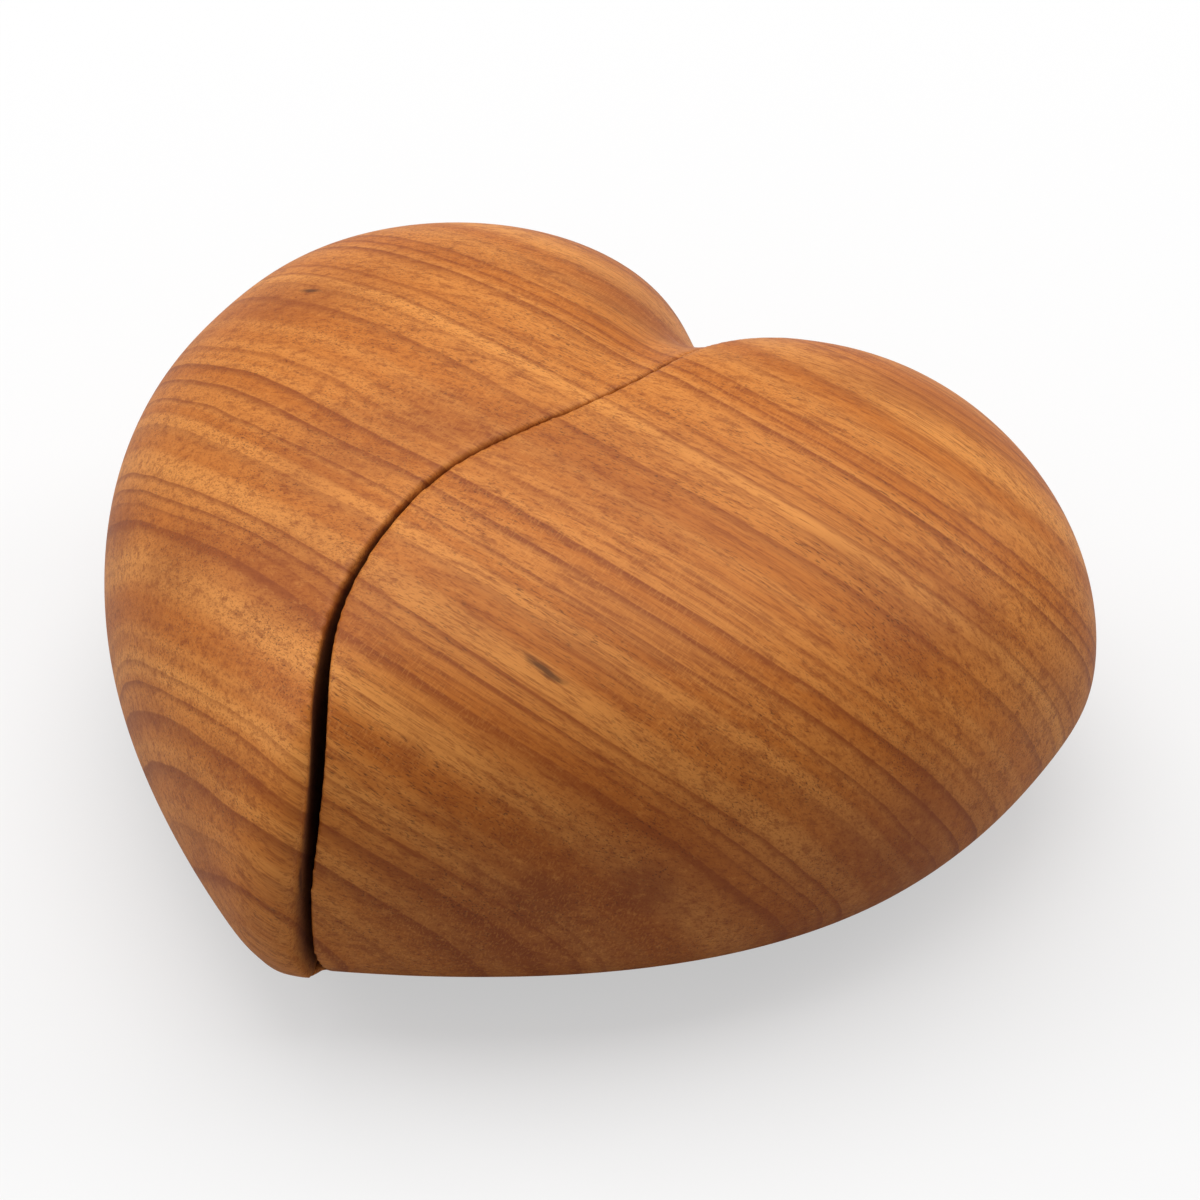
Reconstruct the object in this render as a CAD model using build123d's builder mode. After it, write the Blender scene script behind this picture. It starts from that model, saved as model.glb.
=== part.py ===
"""Carved wooden heart with a wind-up musical movement.

A heart-shaped base carries two carved halves that meet along an S-shaped saw cut. The left half is
glued down over an 18-note movement, wound by a key in a recess underneath. The right half swings out
on a pivot screw near the notch and uncovers a felt-lined tray. As it swings, a pin in its underside
draws a brass slide that lets the air brake of the movement run free.

Millimetres, +Z up. The origin is on the table plane under the heart; the tip points to -Y, the notch
to +Y, and the swinging half lies on the +X side.
"""

from build123d import *
from math import copysign, cos, pi, radians, sin, sqrt
import os

# ---------------------------------------------------------------- carved heart
HEART_WIDTH = 150.0
TIP_Y = -79.3
NOTCH_Y = 44.7
LOBE_TOP_X = 28.4
LOBE_TOP_Y = 58.0
WIDEST_Y = 21.6
EQUATOR_Z = 23.0
DOME_HEIGHT = 42.1
BELLY_DEPTH = 25.4
EDGE_ROUND = 3.0
STATIONS_PER_HALF = 12
SECTION_POINTS = 32
# Exponents of the carved curves: 2 is an ellipse, more is squarer.
FLANK_POWER = 1.012
FLANK_FULLNESS = 0.74
NOTCH_POWER = 2.58
SHOULDER_POWER = 1.71
SECTION_POWER = 2.4
RIDGE_POWER = 2.45

# ---------------------------------------------------------------- saw cut and parting plane
PARTING_Z = 10.0
LID_GAP = 0.3
# The swinging half sits a little towards the notch, as its cut closed up.
LID_SHIFT = (0.4, 2.2)
# Points down the cut on the fixed half, from beyond the notch to beyond the tip.
SEAM = [(6.2, 70.0), (6.1, 30.0), (5.6, 18.0), (4.5, 9.5), (-0.8, -7.0), (-5.8, -21.0), (-7.3, -36.0),
        (-4.9, -53.0), (-0.8, -62.2), (3.4, -69.5), (5.2, -76.0), (2.5, -83.0), (-3.0, -92.0)]
# Points down the cut on the swinging half, which leaves the gap of the saw.
LID_SEAM = [(14.0, 70.0), (9.6, 38.0), (7.1, 28.0), (6.3, 18.0), (5.1, 9.5), (-0.3, -7.0), (-5.3, -21.0),
            (-6.6, -36.0), (-3.4, -53.0), (1.6, -62.2), (5.4, -69.5), (6.6, -75.0), (3.6, -83.0),
            (-2.0, -92.0)]

# ---------------------------------------------------------------- fits
RUNNING = 0.05
LOOSE = 0.25

# ---------------------------------------------------------------- winding key and its recess
KEY_RECESS_RADIUS = 17.0
KEY_RECESS_DEPTH = 11.0
KEY_SPAN = 24.0
KEY_THICKNESS = 2.0
KEY_LOBE_RADIUS = 4.4
KEY_EYE_RADIUS = 1.6
KEY_GROUND_CLEARANCE = 1.2
KEY_HUB_RADIUS = 3.2
KEY_CEILING_GAP = 0.5
KEY_HUB_OVERLAP = 1.5
KEY_HUB_CHAMFER = 0.4

# ---------------------------------------------------------------- movement: bedplate and chamber
MOVEMENT_X = -36.0
BARREL_Y = -9.5
PLATEAU_Z = 15.0
BEDPLATE_THICKNESS = 2.0
BEDPLATE_WIDTH = 38.0
BEDPLATE_FRONT_Y = -24.0
BEDPLATE_BACK_Y = 38.5
BEDPLATE_CORNER = 10.0
CHAMBER_MARGIN_WEST = 3.0
CHAMBER_MARGIN_EAST = 4.0
CHAMBER_MARGIN_ENDS = 1.6
COMB_WALL_GAP = 0.9
CHAMBER_CORNER = 12.0
CHAMBER_TOP_Z = 39.5
MOUNT_SCREW_X_OFFSET = 14.0
MOUNT_SCREW_FRONT = 9.7
MOUNT_SCREW_BACK = 4.5
MOUNT_SCREW_RADIUS = 1.4
MOUNT_SCREW_HEAD = 2.4
MOUNT_SCREW_HEAD_HEIGHT = 1.6
# Wood left between the mount screws and the key recess.
MOUNT_SCREW_COVER = 0.8
SMALL_SCREW_RADIUS = 0.95
SMALL_SCREW_HOLE = 1.1

# ---------------------------------------------------------------- movement: spring barrel
BARREL_RADIUS = 10.5
BARREL_WALL = 0.8
BARREL_FLOOR_GAP = 0.6
BARREL_TOP_Z = 32.0
CROWN_RADIUS = 14.0
CROWN_THICKNESS = 1.2
CROWN_TEETH = 48
CROWN_TOOTH_WIDTH = 0.55
CROWN_RIM = 0.4
CROWN_ADDENDUM = 0.45
ARBOR_RADIUS = 2.9
ARBOR_HUB_RADIUS = 3.6
ARBOR_THREAD_RADIUS = 1.8
ARBOR_THREAD_LENGTH = 6.0
ARBOR_PIVOT_RADIUS = 1.4
SPRING_STRIP = 0.3
SPRING_TURNS = 7
CLUTCH_WIRE_RADIUS = 0.24
CLUTCH_TURNS = 4
CLUTCH_POCKET_DEPTH = 2.6
CLUTCH_POCKET_MARGIN = 1.4
BRIDGE_THICKNESS = 1.5
BRIDGE_WIDTH = 8.0
POST_X_OFFSET = 17.0
POST_SIZE = (3.6, 7.0)
BRIDGE_GAP = 0.6
BRIDGE_SCREW_HEAD = 1.9
BRIDGE_SCREW_HEAD_HEIGHT = 1.2
BRIDGE_SCREW_LENGTH = 6.0

# ---------------------------------------------------------------- movement: cylinder and comb
CYLINDER_Z = 25.0
CYLINDER_RADIUS = 6.5
CYLINDER_WALL = 0.8
CYLINDER_ARBOR_RADIUS = 1.0
NOTES = 18
NOTE_PITCH = 1.0
FIRST_NOTE_Y = 8.3
PIN_RADIUS = 0.2
PIN_HEIGHT = 0.45
PINION_TEETH = 12
PINION_LENGTH = 2.1
BEARING_THICKNESS = 1.5
BEARING_WIDTH = 6.0
TOOTH_GAP = 0.28
COMB_THICKNESS = 0.8
COMB_DEPTH = 14.0
COMB_BASS_SLOT = 9.6
COMB_TREBLE_SLOT = 6.5
COMB_TIP_GAP = 0.1
COMB_SEAT = 3.8
COMB_SCREW_INSET = 3.5
COMB_SCREW_HEAD = 1.7
COMB_SCREW_HEAD_HEIGHT = 1.1
COMB_SCREW_LENGTH = 5.0
BASS_TEETH = 6
BASS_WEIGHT_LENGTH = 2.6
BASS_WEIGHT_TAPER = 0.2
BASS_WEIGHT_HEIGHT = 1.1
TUNE_BEATS = 36
DRIVE_WHEEL_THICKNESS = 1.0
DRIVE_WHEEL_WINDOWS = 5
DRIVE_WHEEL_WINDOW_RADIUS = 1.3
END_DISC_THICKNESS = 1.0

# ---------------------------------------------------------------- movement: governor
WHEEL_DRIVE_TEETH = 48
WHEEL_DRIVE_RADIUS = 7.0
GOVERNOR_PINION_TEETH = 8
GOVERNOR_WHEEL_TEETH = 24
GOVERNOR_WHEEL_RADIUS = 4.0
GOVERNOR_ARBOR_RADIUS = 0.5
WORM_RADIUS = 1.4
SMALL_TOOTH_HEIGHT = 0.27
TOOTH_SHARE = 0.38
FAN_RADIUS = 5.5
FAN_HEIGHT = 5.0
FAN_BLADE = 0.4
FAN_HUB_RADIUS = 1.3
CHEEK_THICKNESS = 1.0
CHEEK_WIDTH = 4.0
FRAME_FOOT = 1.4
FRAME_ARM = 1.2
FRAME_COLUMN = 1.5
FRAME_WEST_MARGIN = 3.2
FRAME_EAST_MARGIN = 3.6
GOVERNOR_SCREW_HEAD = 1.5
GOVERNOR_SCREW_HEAD_HEIGHT = 0.9
GOVERNOR_WHEEL_ADDENDUM = 0.4
GOVERNOR_WHEEL_THICKNESS = 1.0

# ---------------------------------------------------------------- pivot, slide and tray of the swinging half
PIVOT = (28.0, 40.0)
SWING_DEGREES = 60.0
PIVOT_RADIUS = 2.5
PIVOT_HEAD_RADIUS = 3.8
PIVOT_HEAD_HEIGHT = 2.6
PIVOT_SEAT_Z = 6.0
BUSH_RADIUS = 3.6
WASHER_RADIUS = 4.6
WASHER_RECESS = 0.3
INSERT_RADIUS = 3.4
INSERT_LENGTH = 10.0
PIVOT_THREAD_RADIUS = 2.0
SCREW_SLOT = 1.0
CRANK_RADIUS = 9.0
CRANK_PIN_RADIUS = 1.25
SLIDE_THICKNESS = 1.6
SLIDE_Z = 8.0
SLIDE_WIDTH = 6.5
SLIDE_FINGER = 1.0
SLIDE_FINGER_WIDTH = 3.0
SLIDE_CLEARANCE = 0.2
SLIDE_WAIST = 2.4
SLIDE_WAIST_INSET = 6.0
FORK_TINE = 2.0
TRAY_CENTRE = (27.0, -6.0)
TRAY_RADII = (21.0, 31.0)
TRAY_FLOOR = 3.5
LINER_THICKNESS = 1.0
MAGNET_PLACE = (13.0, -49.0)
MAGNET_RADIUS = 3.0
MAGNET_LENGTH = 3.0

# ---------------------------------------------------------------- worked out from the values above
HALF_WIDTH = HEART_WIDTH / 2
BED_Z = PLATEAU_Z + BEDPLATE_THICKNESS
BEDPLATE_CENTRE_Y = (BEDPLATE_FRONT_Y + BEDPLATE_BACK_Y) / 2
BEDPLATE_LENGTH = BEDPLATE_BACK_Y - BEDPLATE_FRONT_Y

BARREL_BOTTOM_Z = BED_Z + BARREL_FLOOR_GAP
CROWN_MEAN_RADIUS = CROWN_RADIUS - CROWN_RIM - PINION_LENGTH / 2
PINION_RADIUS = CROWN_MEAN_RADIUS * PINION_TEETH / CROWN_TEETH
CROWN_TOP_Z = CYLINDER_Z - PINION_RADIUS - CROWN_ADDENDUM
BRIDGE_Z = BARREL_TOP_Z + BRIDGE_GAP
POST_PLACES = [(MOVEMENT_X - POST_X_OFFSET, BARREL_Y), (MOVEMENT_X + POST_X_OFFSET, BARREL_Y)]
MOUNT_SCREWS = [(MOVEMENT_X - MOUNT_SCREW_X_OFFSET, BARREL_Y - MOUNT_SCREW_FRONT),
                (MOVEMENT_X + MOUNT_SCREW_X_OFFSET, BARREL_Y - MOUNT_SCREW_FRONT),
                (MOVEMENT_X - MOUNT_SCREW_X_OFFSET, BEDPLATE_BACK_Y - MOUNT_SCREW_BACK)]
MOUNT_SCREW_END_Z = KEY_RECESS_DEPTH + MOUNT_SCREW_COVER

LAST_NOTE_Y = FIRST_NOTE_Y + (NOTES - 1) * NOTE_PITCH
SLEEVE_FRONT_Y = FIRST_NOTE_Y - NOTE_PITCH
SLEEVE_BACK_Y = LAST_NOTE_Y + NOTE_PITCH
PINION_Y = BARREL_Y + CROWN_MEAN_RADIUS
DRIVE_WHEEL_Y = SLEEVE_BACK_Y + 0.6
FRONT_BEARING_Y = BARREL_Y + CROWN_RADIUS + 0.5
BACK_BEARING_Y = DRIVE_WHEEL_Y + DRIVE_WHEEL_THICKNESS + 0.7
PIN_TIP_RADIUS = CYLINDER_RADIUS + PIN_HEIGHT
COMB_TIP_X = MOVEMENT_X - PIN_TIP_RADIUS - COMB_TIP_GAP
COMB_HEEL_X = COMB_TIP_X - COMB_DEPTH

# The chamber clears the bedplate, and the heel of the comb wherever a thicker cylinder pushes it.
CHAMBER_WEST = min(MOVEMENT_X - BEDPLATE_WIDTH / 2 - CHAMBER_MARGIN_WEST,
                   COMB_HEEL_X - COMB_WALL_GAP)
CHAMBER_EAST = MOVEMENT_X + BEDPLATE_WIDTH / 2 + CHAMBER_MARGIN_EAST
CHAMBER_SOUTH = BEDPLATE_FRONT_Y - CHAMBER_MARGIN_ENDS
CHAMBER_NORTH = BEDPLATE_BACK_Y + CHAMBER_MARGIN_ENDS

GOVERNOR_PINION_RADIUS = WHEEL_DRIVE_RADIUS * GOVERNOR_PINION_TEETH / WHEEL_DRIVE_TEETH
GOVERNOR_X = MOVEMENT_X + WHEEL_DRIVE_RADIUS + GOVERNOR_PINION_RADIUS
GOVERNOR_FRONT_CHEEK_Y = BACK_BEARING_Y
GOVERNOR_WHEEL_Y = GOVERNOR_FRONT_CHEEK_Y + 1.5
GOVERNOR_BACK_CHEEK_Y = GOVERNOR_WHEEL_Y + 2.1
WORM_X = GOVERNOR_X + GOVERNOR_WHEEL_RADIUS + WORM_RADIUS
WORM_Y = GOVERNOR_WHEEL_Y + 0.5
WORM_LEAD = 2 * pi * GOVERNOR_WHEEL_RADIUS / GOVERNOR_WHEEL_TEETH
FAN_Z = CYLINDER_Z + GOVERNOR_WHEEL_RADIUS + 1.2
FRAME_ARM_Z = FAN_Z + FAN_HEIGHT + 0.8

LID_Z = PARTING_Z + LID_GAP
HALF_SWING = radians(SWING_DEGREES / 2)
CRANK_X = PIVOT[0] - CRANK_RADIUS * sin(HALF_SWING)
CRANK_Y = PIVOT[1] - CRANK_RADIUS * cos(HALF_SWING)
SLIDE_TRAVEL = 2 * CRANK_RADIUS * sin(HALF_SWING)
SLIDE_SOUTH = PIVOT[1] - CRANK_RADIUS - CRANK_PIN_RADIUS - 2.3
FORK_GAP = 2 * CRANK_PIN_RADIUS + 0.4
FINGER_X = WORM_X + FAN_RADIUS + 0.2
TRAY_DEPTH = PARTING_Z - TRAY_FLOOR
CARVED_TOP = EQUATOR_Z + DOME_HEIGHT
FINGER_Z = FAN_Z + FAN_HEIGHT - 0.5
SLIDE_EAST = CRANK_X + FORK_GAP / 2 + FORK_TINE
SLIDE_NORTH = SLIDE_SOUTH + SLIDE_WIDTH
BUSH_TOP_Z = PARTING_Z - WASHER_RECESS


# ---------------------------------------------------------------- shared shapes
def outline_at(x):
    """Lowest and highest Y of the heart's widest outline at one X."""
    soft = EDGE_ROUND / HALF_WIDTH
    share = (sqrt((x / HALF_WIDTH) ** 2 + soft**2) - soft) / (sqrt(1 + soft**2) - soft)
    flank = 1 - sqrt(max(1 - share**FLANK_POWER, 0)) ** FLANK_FULLNESS
    low = TIP_Y + (WIDEST_Y - TIP_Y) * flank
    lobe = LOBE_TOP_X / HALF_WIDTH
    if share < lobe:
        high = NOTCH_Y + (LOBE_TOP_Y - NOTCH_Y) * (1 - (1 - share / lobe) ** NOTCH_POWER)
    else:
        outward = (share - lobe) / (1 - lobe)
        fall = max(1 - outward**SHOULDER_POWER, 0) ** (1 / SHOULDER_POWER)
        high = WIDEST_Y + (LOBE_TOP_Y - WIDEST_Y) * fall
    return low, high


def power_of(value, power):
    """A signed power, for the squared-off ellipses of the carving."""
    return copysign(abs(value) ** (2 / power), value)


def section_at(x):
    """Closed ring of points, in Y and Z, of the heart's cross-section at one X."""
    low, high = outline_at(x)
    ridge = (1 - abs(x / HALF_WIDTH) ** RIDGE_POWER) ** (1 / RIDGE_POWER)
    ring = []
    for step in range(SECTION_POINTS):
        turn = 2 * pi * step / SECTION_POINTS
        height = (DOME_HEIGHT if sin(turn) > 0 else BELLY_DEPTH) * ridge
        y = (low + high) / 2 + (high - low) / 2 * power_of(cos(turn), SECTION_POWER)
        ring.append((y, EQUATOR_Z + height * power_of(sin(turn), SECTION_POWER)))
    return ring


def station(step):
    """X of one cross-section; they crowd towards the notch and towards the outer ends."""
    share = abs(step) / STATIONS_PER_HALF
    return copysign(HALF_WIDTH * sin(pi / 2 * share**1.5), step)


def carved_heart():
    """The whole heart as one blank, cut flat underneath."""
    with BuildPart() as blank:
        rings = []
        for step in range(1 - STATIONS_PER_HALF, STATIONS_PER_HALF):
            with BuildLine(Plane.YZ.offset(station(step))) as ring:
                Spline(*section_at(station(step)), periodic=True)
            rings.append(ring.wires()[0])
        ends = [Vertex(side * HALF_WIDTH, WIDEST_Y, EQUATOR_Z) for side in (-1, 1)]
        add(Solid.make_loft([ends[0], *rings, ends[1]]))
        split(bisect_by=Plane.XY, keep=Keep.TOP)
    return blank.part


def side_of_cut(points, side, plane):
    """Sketch of everything on one side of the saw cut: side is -1 for left, 1 for right."""
    reach = side * HEART_WIDTH
    with BuildSketch(plane) as region:
        with BuildLine():
            Spline(*points)
            Polyline(points[-1], (reach, points[-1][1]), (reach, points[0][1]), points[0])
        make_face()
    return region.sketch


def gear_outline(pitch_radius, teeth, addendum, first_tooth=0.0):
    """Slim straight-sided gear teeth round a disc, drawn in the current sketch."""
    pitch = 2 * pi * pitch_radius / teeth
    root = pitch_radius - 1.3 * addendum
    half_root = 0.62 * TOOTH_SHARE * pitch
    half_tip = 0.36 * TOOTH_SHARE * pitch
    Circle(root)
    with PolarLocations(0, teeth, start_angle=first_tooth):
        Polygon((root - 0.1, -half_root), (pitch_radius + addendum, -half_tip),
                (pitch_radius + addendum, half_tip), (root - 0.1, half_root), align=None)


def plane_along_y(x, y, z):
    """Plane across a shaft that runs along Y: its own X is +X and its own Y is -Z."""
    return Plane(origin=(x, y, z), x_dir=(1, 0, 0), z_dir=(0, 1, 0))


def save(builder, name):
    """Label a finished piece and write its file."""
    builder.part.label = name
    export_step(builder.part, f"parts/{name}.step")


os.makedirs("parts", exist_ok=True)
heart = carved_heart()
shifted_heart = heart.moved(Location((*LID_SHIFT, 0)))

# ---------------------------------------------------------------- carved pieces
with BuildPart() as right_bottom:
    add(shifted_heart)
    extrude(side_of_cut(SEAM, 1, Plane.XY), amount=PARTING_Z, mode=Mode.INTERSECT)

with BuildPart() as base:
    add(heart)
    extrude(side_of_cut(SEAM, -1, Plane.XY), amount=PARTING_Z, mode=Mode.INTERSECT)
    add(right_bottom.part)
    # Raised bed that the movement is screwed to, inside the chamber of the fixed half.
    with BuildSketch(Plane.XY.offset(PARTING_Z)):
        with Locations(((CHAMBER_WEST + CHAMBER_EAST) / 2, (CHAMBER_SOUTH + CHAMBER_NORTH) / 2)):
            RectangleRounded(CHAMBER_EAST - CHAMBER_WEST - 2 * LOOSE,
                             CHAMBER_NORTH - CHAMBER_SOUTH - 2 * LOOSE, CHAMBER_CORNER - LOOSE)
    extrude(amount=PLATEAU_Z - PARTING_Z)
    # Recess for the winding key, with the hole for its arbor and clutch spring.
    with Locations((MOVEMENT_X, BARREL_Y, 0)):
        Cylinder(KEY_RECESS_RADIUS, KEY_RECESS_DEPTH, align=(Align.CENTER, Align.CENTER, Align.MIN),
                 mode=Mode.SUBTRACT)
        Cylinder(ARBOR_HUB_RADIUS, PLATEAU_Z, align=(Align.CENTER, Align.CENTER, Align.MIN),
                 mode=Mode.SUBTRACT)
    with Locations((MOVEMENT_X, BARREL_Y, PLATEAU_Z)):
        Cylinder(ARBOR_HUB_RADIUS + CLUTCH_POCKET_MARGIN, CLUTCH_POCKET_DEPTH,
                 align=(Align.CENTER, Align.CENTER, Align.MAX), mode=Mode.SUBTRACT)
    with Locations(*[(x, y, PLATEAU_Z) for x, y in MOUNT_SCREWS]):
        Cylinder(MOUNT_SCREW_RADIUS + RUNNING, PLATEAU_Z - MOUNT_SCREW_END_Z + RUNNING,
                 align=(Align.CENTER, Align.CENTER, Align.MAX), mode=Mode.SUBTRACT)
    # Channel for the stop slide, with headroom for its finger beside the movement.
    with BuildSketch(Plane.XY.offset(SLIDE_Z - SLIDE_CLEARANCE)):
        with Locations((FINGER_X - LOOSE, SLIDE_SOUTH - LOOSE)):
            Rectangle(SLIDE_EAST + SLIDE_TRAVEL - FINGER_X + 3 * LOOSE, SLIDE_WIDTH + 2 * LOOSE,
                      align=(Align.MIN, Align.MIN))
    extrude(amount=CARVED_TOP, mode=Mode.SUBTRACT)
    # Tray for keepsakes.
    with BuildSketch(Plane.XY.offset(TRAY_FLOOR)):
        with Locations(TRAY_CENTRE):
            Ellipse(*TRAY_RADII)
    extrude(amount=TRAY_DEPTH, mode=Mode.SUBTRACT)
    # Stepped hole of the pivot, and the pocket of the catch magnet.
    with Locations((*PIVOT, 0)):
        Cylinder(PIVOT_HEAD_RADIUS + 2 * LOOSE, PIVOT_SEAT_Z,
                 align=(Align.CENTER, Align.CENTER, Align.MIN), mode=Mode.SUBTRACT)
        Cylinder(BUSH_RADIUS, PARTING_Z, align=(Align.CENTER, Align.CENTER, Align.MIN),
                 mode=Mode.SUBTRACT)
    with Locations((*PIVOT, PARTING_Z)):
        Cylinder(WASHER_RADIUS + LOOSE, WASHER_RECESS, align=(Align.CENTER, Align.CENTER, Align.MAX),
                 mode=Mode.SUBTRACT)
    with Locations((*MAGNET_PLACE, LID_Z)):
        Cylinder(MAGNET_RADIUS, MAGNET_LENGTH, align=(Align.CENTER, Align.CENTER, Align.MAX),
                 mode=Mode.SUBTRACT)
save(base, "base")

with BuildPart() as fixed_half:
    add(heart)
    extrude(side_of_cut(SEAM, -1, Plane.XY.offset(PARTING_Z)), amount=CARVED_TOP, mode=Mode.INTERSECT)
    # Chamber over the movement.
    with BuildSketch(Plane.XY.offset(PARTING_Z)):
        with Locations(((CHAMBER_WEST + CHAMBER_EAST) / 2, (CHAMBER_SOUTH + CHAMBER_NORTH) / 2)):
            RectangleRounded(CHAMBER_EAST - CHAMBER_WEST, CHAMBER_NORTH - CHAMBER_SOUTH, CHAMBER_CORNER)
    extrude(amount=CHAMBER_TOP_Z - PARTING_Z, mode=Mode.SUBTRACT)
    # Side pocket that the finger of the stop slide moves into.
    with BuildSketch(Plane.XY.offset(PARTING_Z)):
        with Locations((FINGER_X, WORM_Y)):
            Rectangle(SLIDE_TRAVEL + SLIDE_FINGER + 4 * LOOSE, SLIDE_FINGER_WIDTH + 4 * LOOSE,
                      align=(Align.MIN, Align.CENTER))
    extrude(amount=FINGER_Z + 2 * LOOSE - PARTING_Z, mode=Mode.SUBTRACT)
save(fixed_half, "fixed_half")

with BuildPart() as swing_half:
    add(shifted_heart)
    extrude(side_of_cut(LID_SEAM, 1, Plane.XY.offset(LID_Z)), amount=CARVED_TOP, mode=Mode.INTERSECT)
    with Locations((*PIVOT, LID_Z)):
        Cylinder(INSERT_RADIUS, INSERT_LENGTH, align=(Align.CENTER, Align.CENTER, Align.MIN),
                 mode=Mode.SUBTRACT)
    with Locations((CRANK_X, CRANK_Y, LID_Z)):
        Cylinder(CRANK_PIN_RADIUS, INSERT_LENGTH, align=(Align.CENTER, Align.CENTER, Align.MIN),
                 mode=Mode.SUBTRACT)
    with Locations((*MAGNET_PLACE, LID_Z)):
        Cylinder(MAGNET_RADIUS, MAGNET_LENGTH, align=(Align.CENTER, Align.CENTER, Align.MIN),
                 mode=Mode.SUBTRACT)
save(swing_half, "swing_half")

with BuildPart() as tray_liner:
    with BuildSketch(Plane.XY.offset(TRAY_FLOOR)):
        with Locations(TRAY_CENTRE):
            Ellipse(TRAY_RADII[0] - LOOSE, TRAY_RADII[1] - LOOSE)
    extrude(amount=LINER_THICKNESS)
save(tray_liner, "tray_liner")

# ---------------------------------------------------------------- pivot, catch and stop slide
with BuildPart() as pivot_screw:
    with BuildSketch(Plane.XY.offset(PIVOT_SEAT_Z - PIVOT_HEAD_HEIGHT)):
        with Locations(PIVOT):
            Circle(PIVOT_HEAD_RADIUS)
    extrude(amount=PIVOT_HEAD_HEIGHT - RUNNING)
    chamfer(pivot_screw.faces().sort_by(Axis.Z)[0].edges(), 0.4)
    with BuildSketch(Plane.XY.offset(PIVOT_SEAT_Z - RUNNING)):
        with Locations(PIVOT):
            Circle(PIVOT_RADIUS)
    extrude(amount=LID_Z - PIVOT_SEAT_Z + RUNNING)
    with BuildSketch(Plane.XY.offset(LID_Z)):
        with Locations(PIVOT):
            Circle(PIVOT_THREAD_RADIUS)
    extrude(amount=INSERT_LENGTH - 1)
    # Slot for a screwdriver.
    with Locations((*PIVOT, PIVOT_SEAT_Z - PIVOT_HEAD_HEIGHT)):
        Box(2 * PIVOT_HEAD_RADIUS, SCREW_SLOT, SCREW_SLOT,
            align=(Align.CENTER, Align.CENTER, Align.MIN), mode=Mode.SUBTRACT)
save(pivot_screw, "pivot_screw")


def ring_piece(place, outer, inner, bottom, top):
    """A plain ring standing on one height and reaching another."""
    with BuildPart() as ring:
        with BuildSketch(Plane.XY.offset(bottom)):
            with Locations(place):
                Circle(outer)
                Circle(inner, mode=Mode.SUBTRACT)
        extrude(amount=top - bottom)
    return ring


save(ring_piece(PIVOT, BUSH_RADIUS, PIVOT_RADIUS + RUNNING, PIVOT_SEAT_Z, BUSH_TOP_Z), "pivot_bush")
save(ring_piece(PIVOT, WASHER_RADIUS, PIVOT_RADIUS + 3 * RUNNING, BUSH_TOP_Z, LID_Z), "pivot_washer")
save(ring_piece(PIVOT, INSERT_RADIUS, PIVOT_THREAD_RADIUS, LID_Z, LID_Z + INSERT_LENGTH), "pivot_insert")

for magnet_name, magnet_base_z in (("base_magnet", LID_Z - MAGNET_LENGTH), ("lid_magnet", LID_Z)):
    with BuildPart() as magnet:
        with Locations((*MAGNET_PLACE, magnet_base_z)):
            Cylinder(MAGNET_RADIUS, MAGNET_LENGTH, align=(Align.CENTER, Align.CENTER, Align.MIN))
    save(magnet, magnet_name)

with BuildPart() as crank_pin:
    with Locations((CRANK_X, CRANK_Y, SLIDE_Z + SLIDE_CLEARANCE)):
        Cylinder(CRANK_PIN_RADIUS, LID_Z + INSERT_LENGTH - SLIDE_Z - SLIDE_CLEARANCE - 0.5,
                 align=(Align.CENTER, Align.CENTER, Align.MIN))
    chamfer(crank_pin.edges().filter_by(GeomType.CIRCLE), 0.25)
save(crank_pin, "crank_pin")

with BuildPart() as stop_slide:
    with BuildSketch(Plane.XY.offset(SLIDE_Z)):
        with Locations((FINGER_X, SLIDE_SOUTH)):
            Rectangle(SLIDE_EAST - FINGER_X, SLIDE_WIDTH, align=(Align.MIN, Align.MIN))
        # Open fork that the crank pin works in.
        with Locations((CRANK_X, PIVOT[1] - CRANK_RADIUS - CRANK_PIN_RADIUS - LOOSE)):
            Rectangle(FORK_GAP, 2 * SLIDE_WIDTH, align=(Align.CENTER, Align.MIN), mode=Mode.SUBTRACT)
        # Waist between the fork and the finger.
        with Locations(((FINGER_X + CRANK_X) / 2, SLIDE_NORTH)):
            Rectangle(CRANK_X - FINGER_X - 2 * SLIDE_WAIST_INSET, SLIDE_WAIST,
                      align=(Align.CENTER, Align.MAX), mode=Mode.SUBTRACT)
    extrude(amount=SLIDE_THICKNESS)
    fillet(stop_slide.edges().filter_by(Axis.Z).group_by(Axis.Y)[-1], 0.6)
    with BuildSketch(Plane.XY.offset(SLIDE_Z)):
        with Locations((FINGER_X, WORM_Y)):
            Rectangle(SLIDE_FINGER, SLIDE_FINGER_WIDTH, align=(Align.MIN, Align.CENTER))
    extrude(amount=FINGER_Z - SLIDE_Z)
save(stop_slide, "stop_slide")

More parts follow.
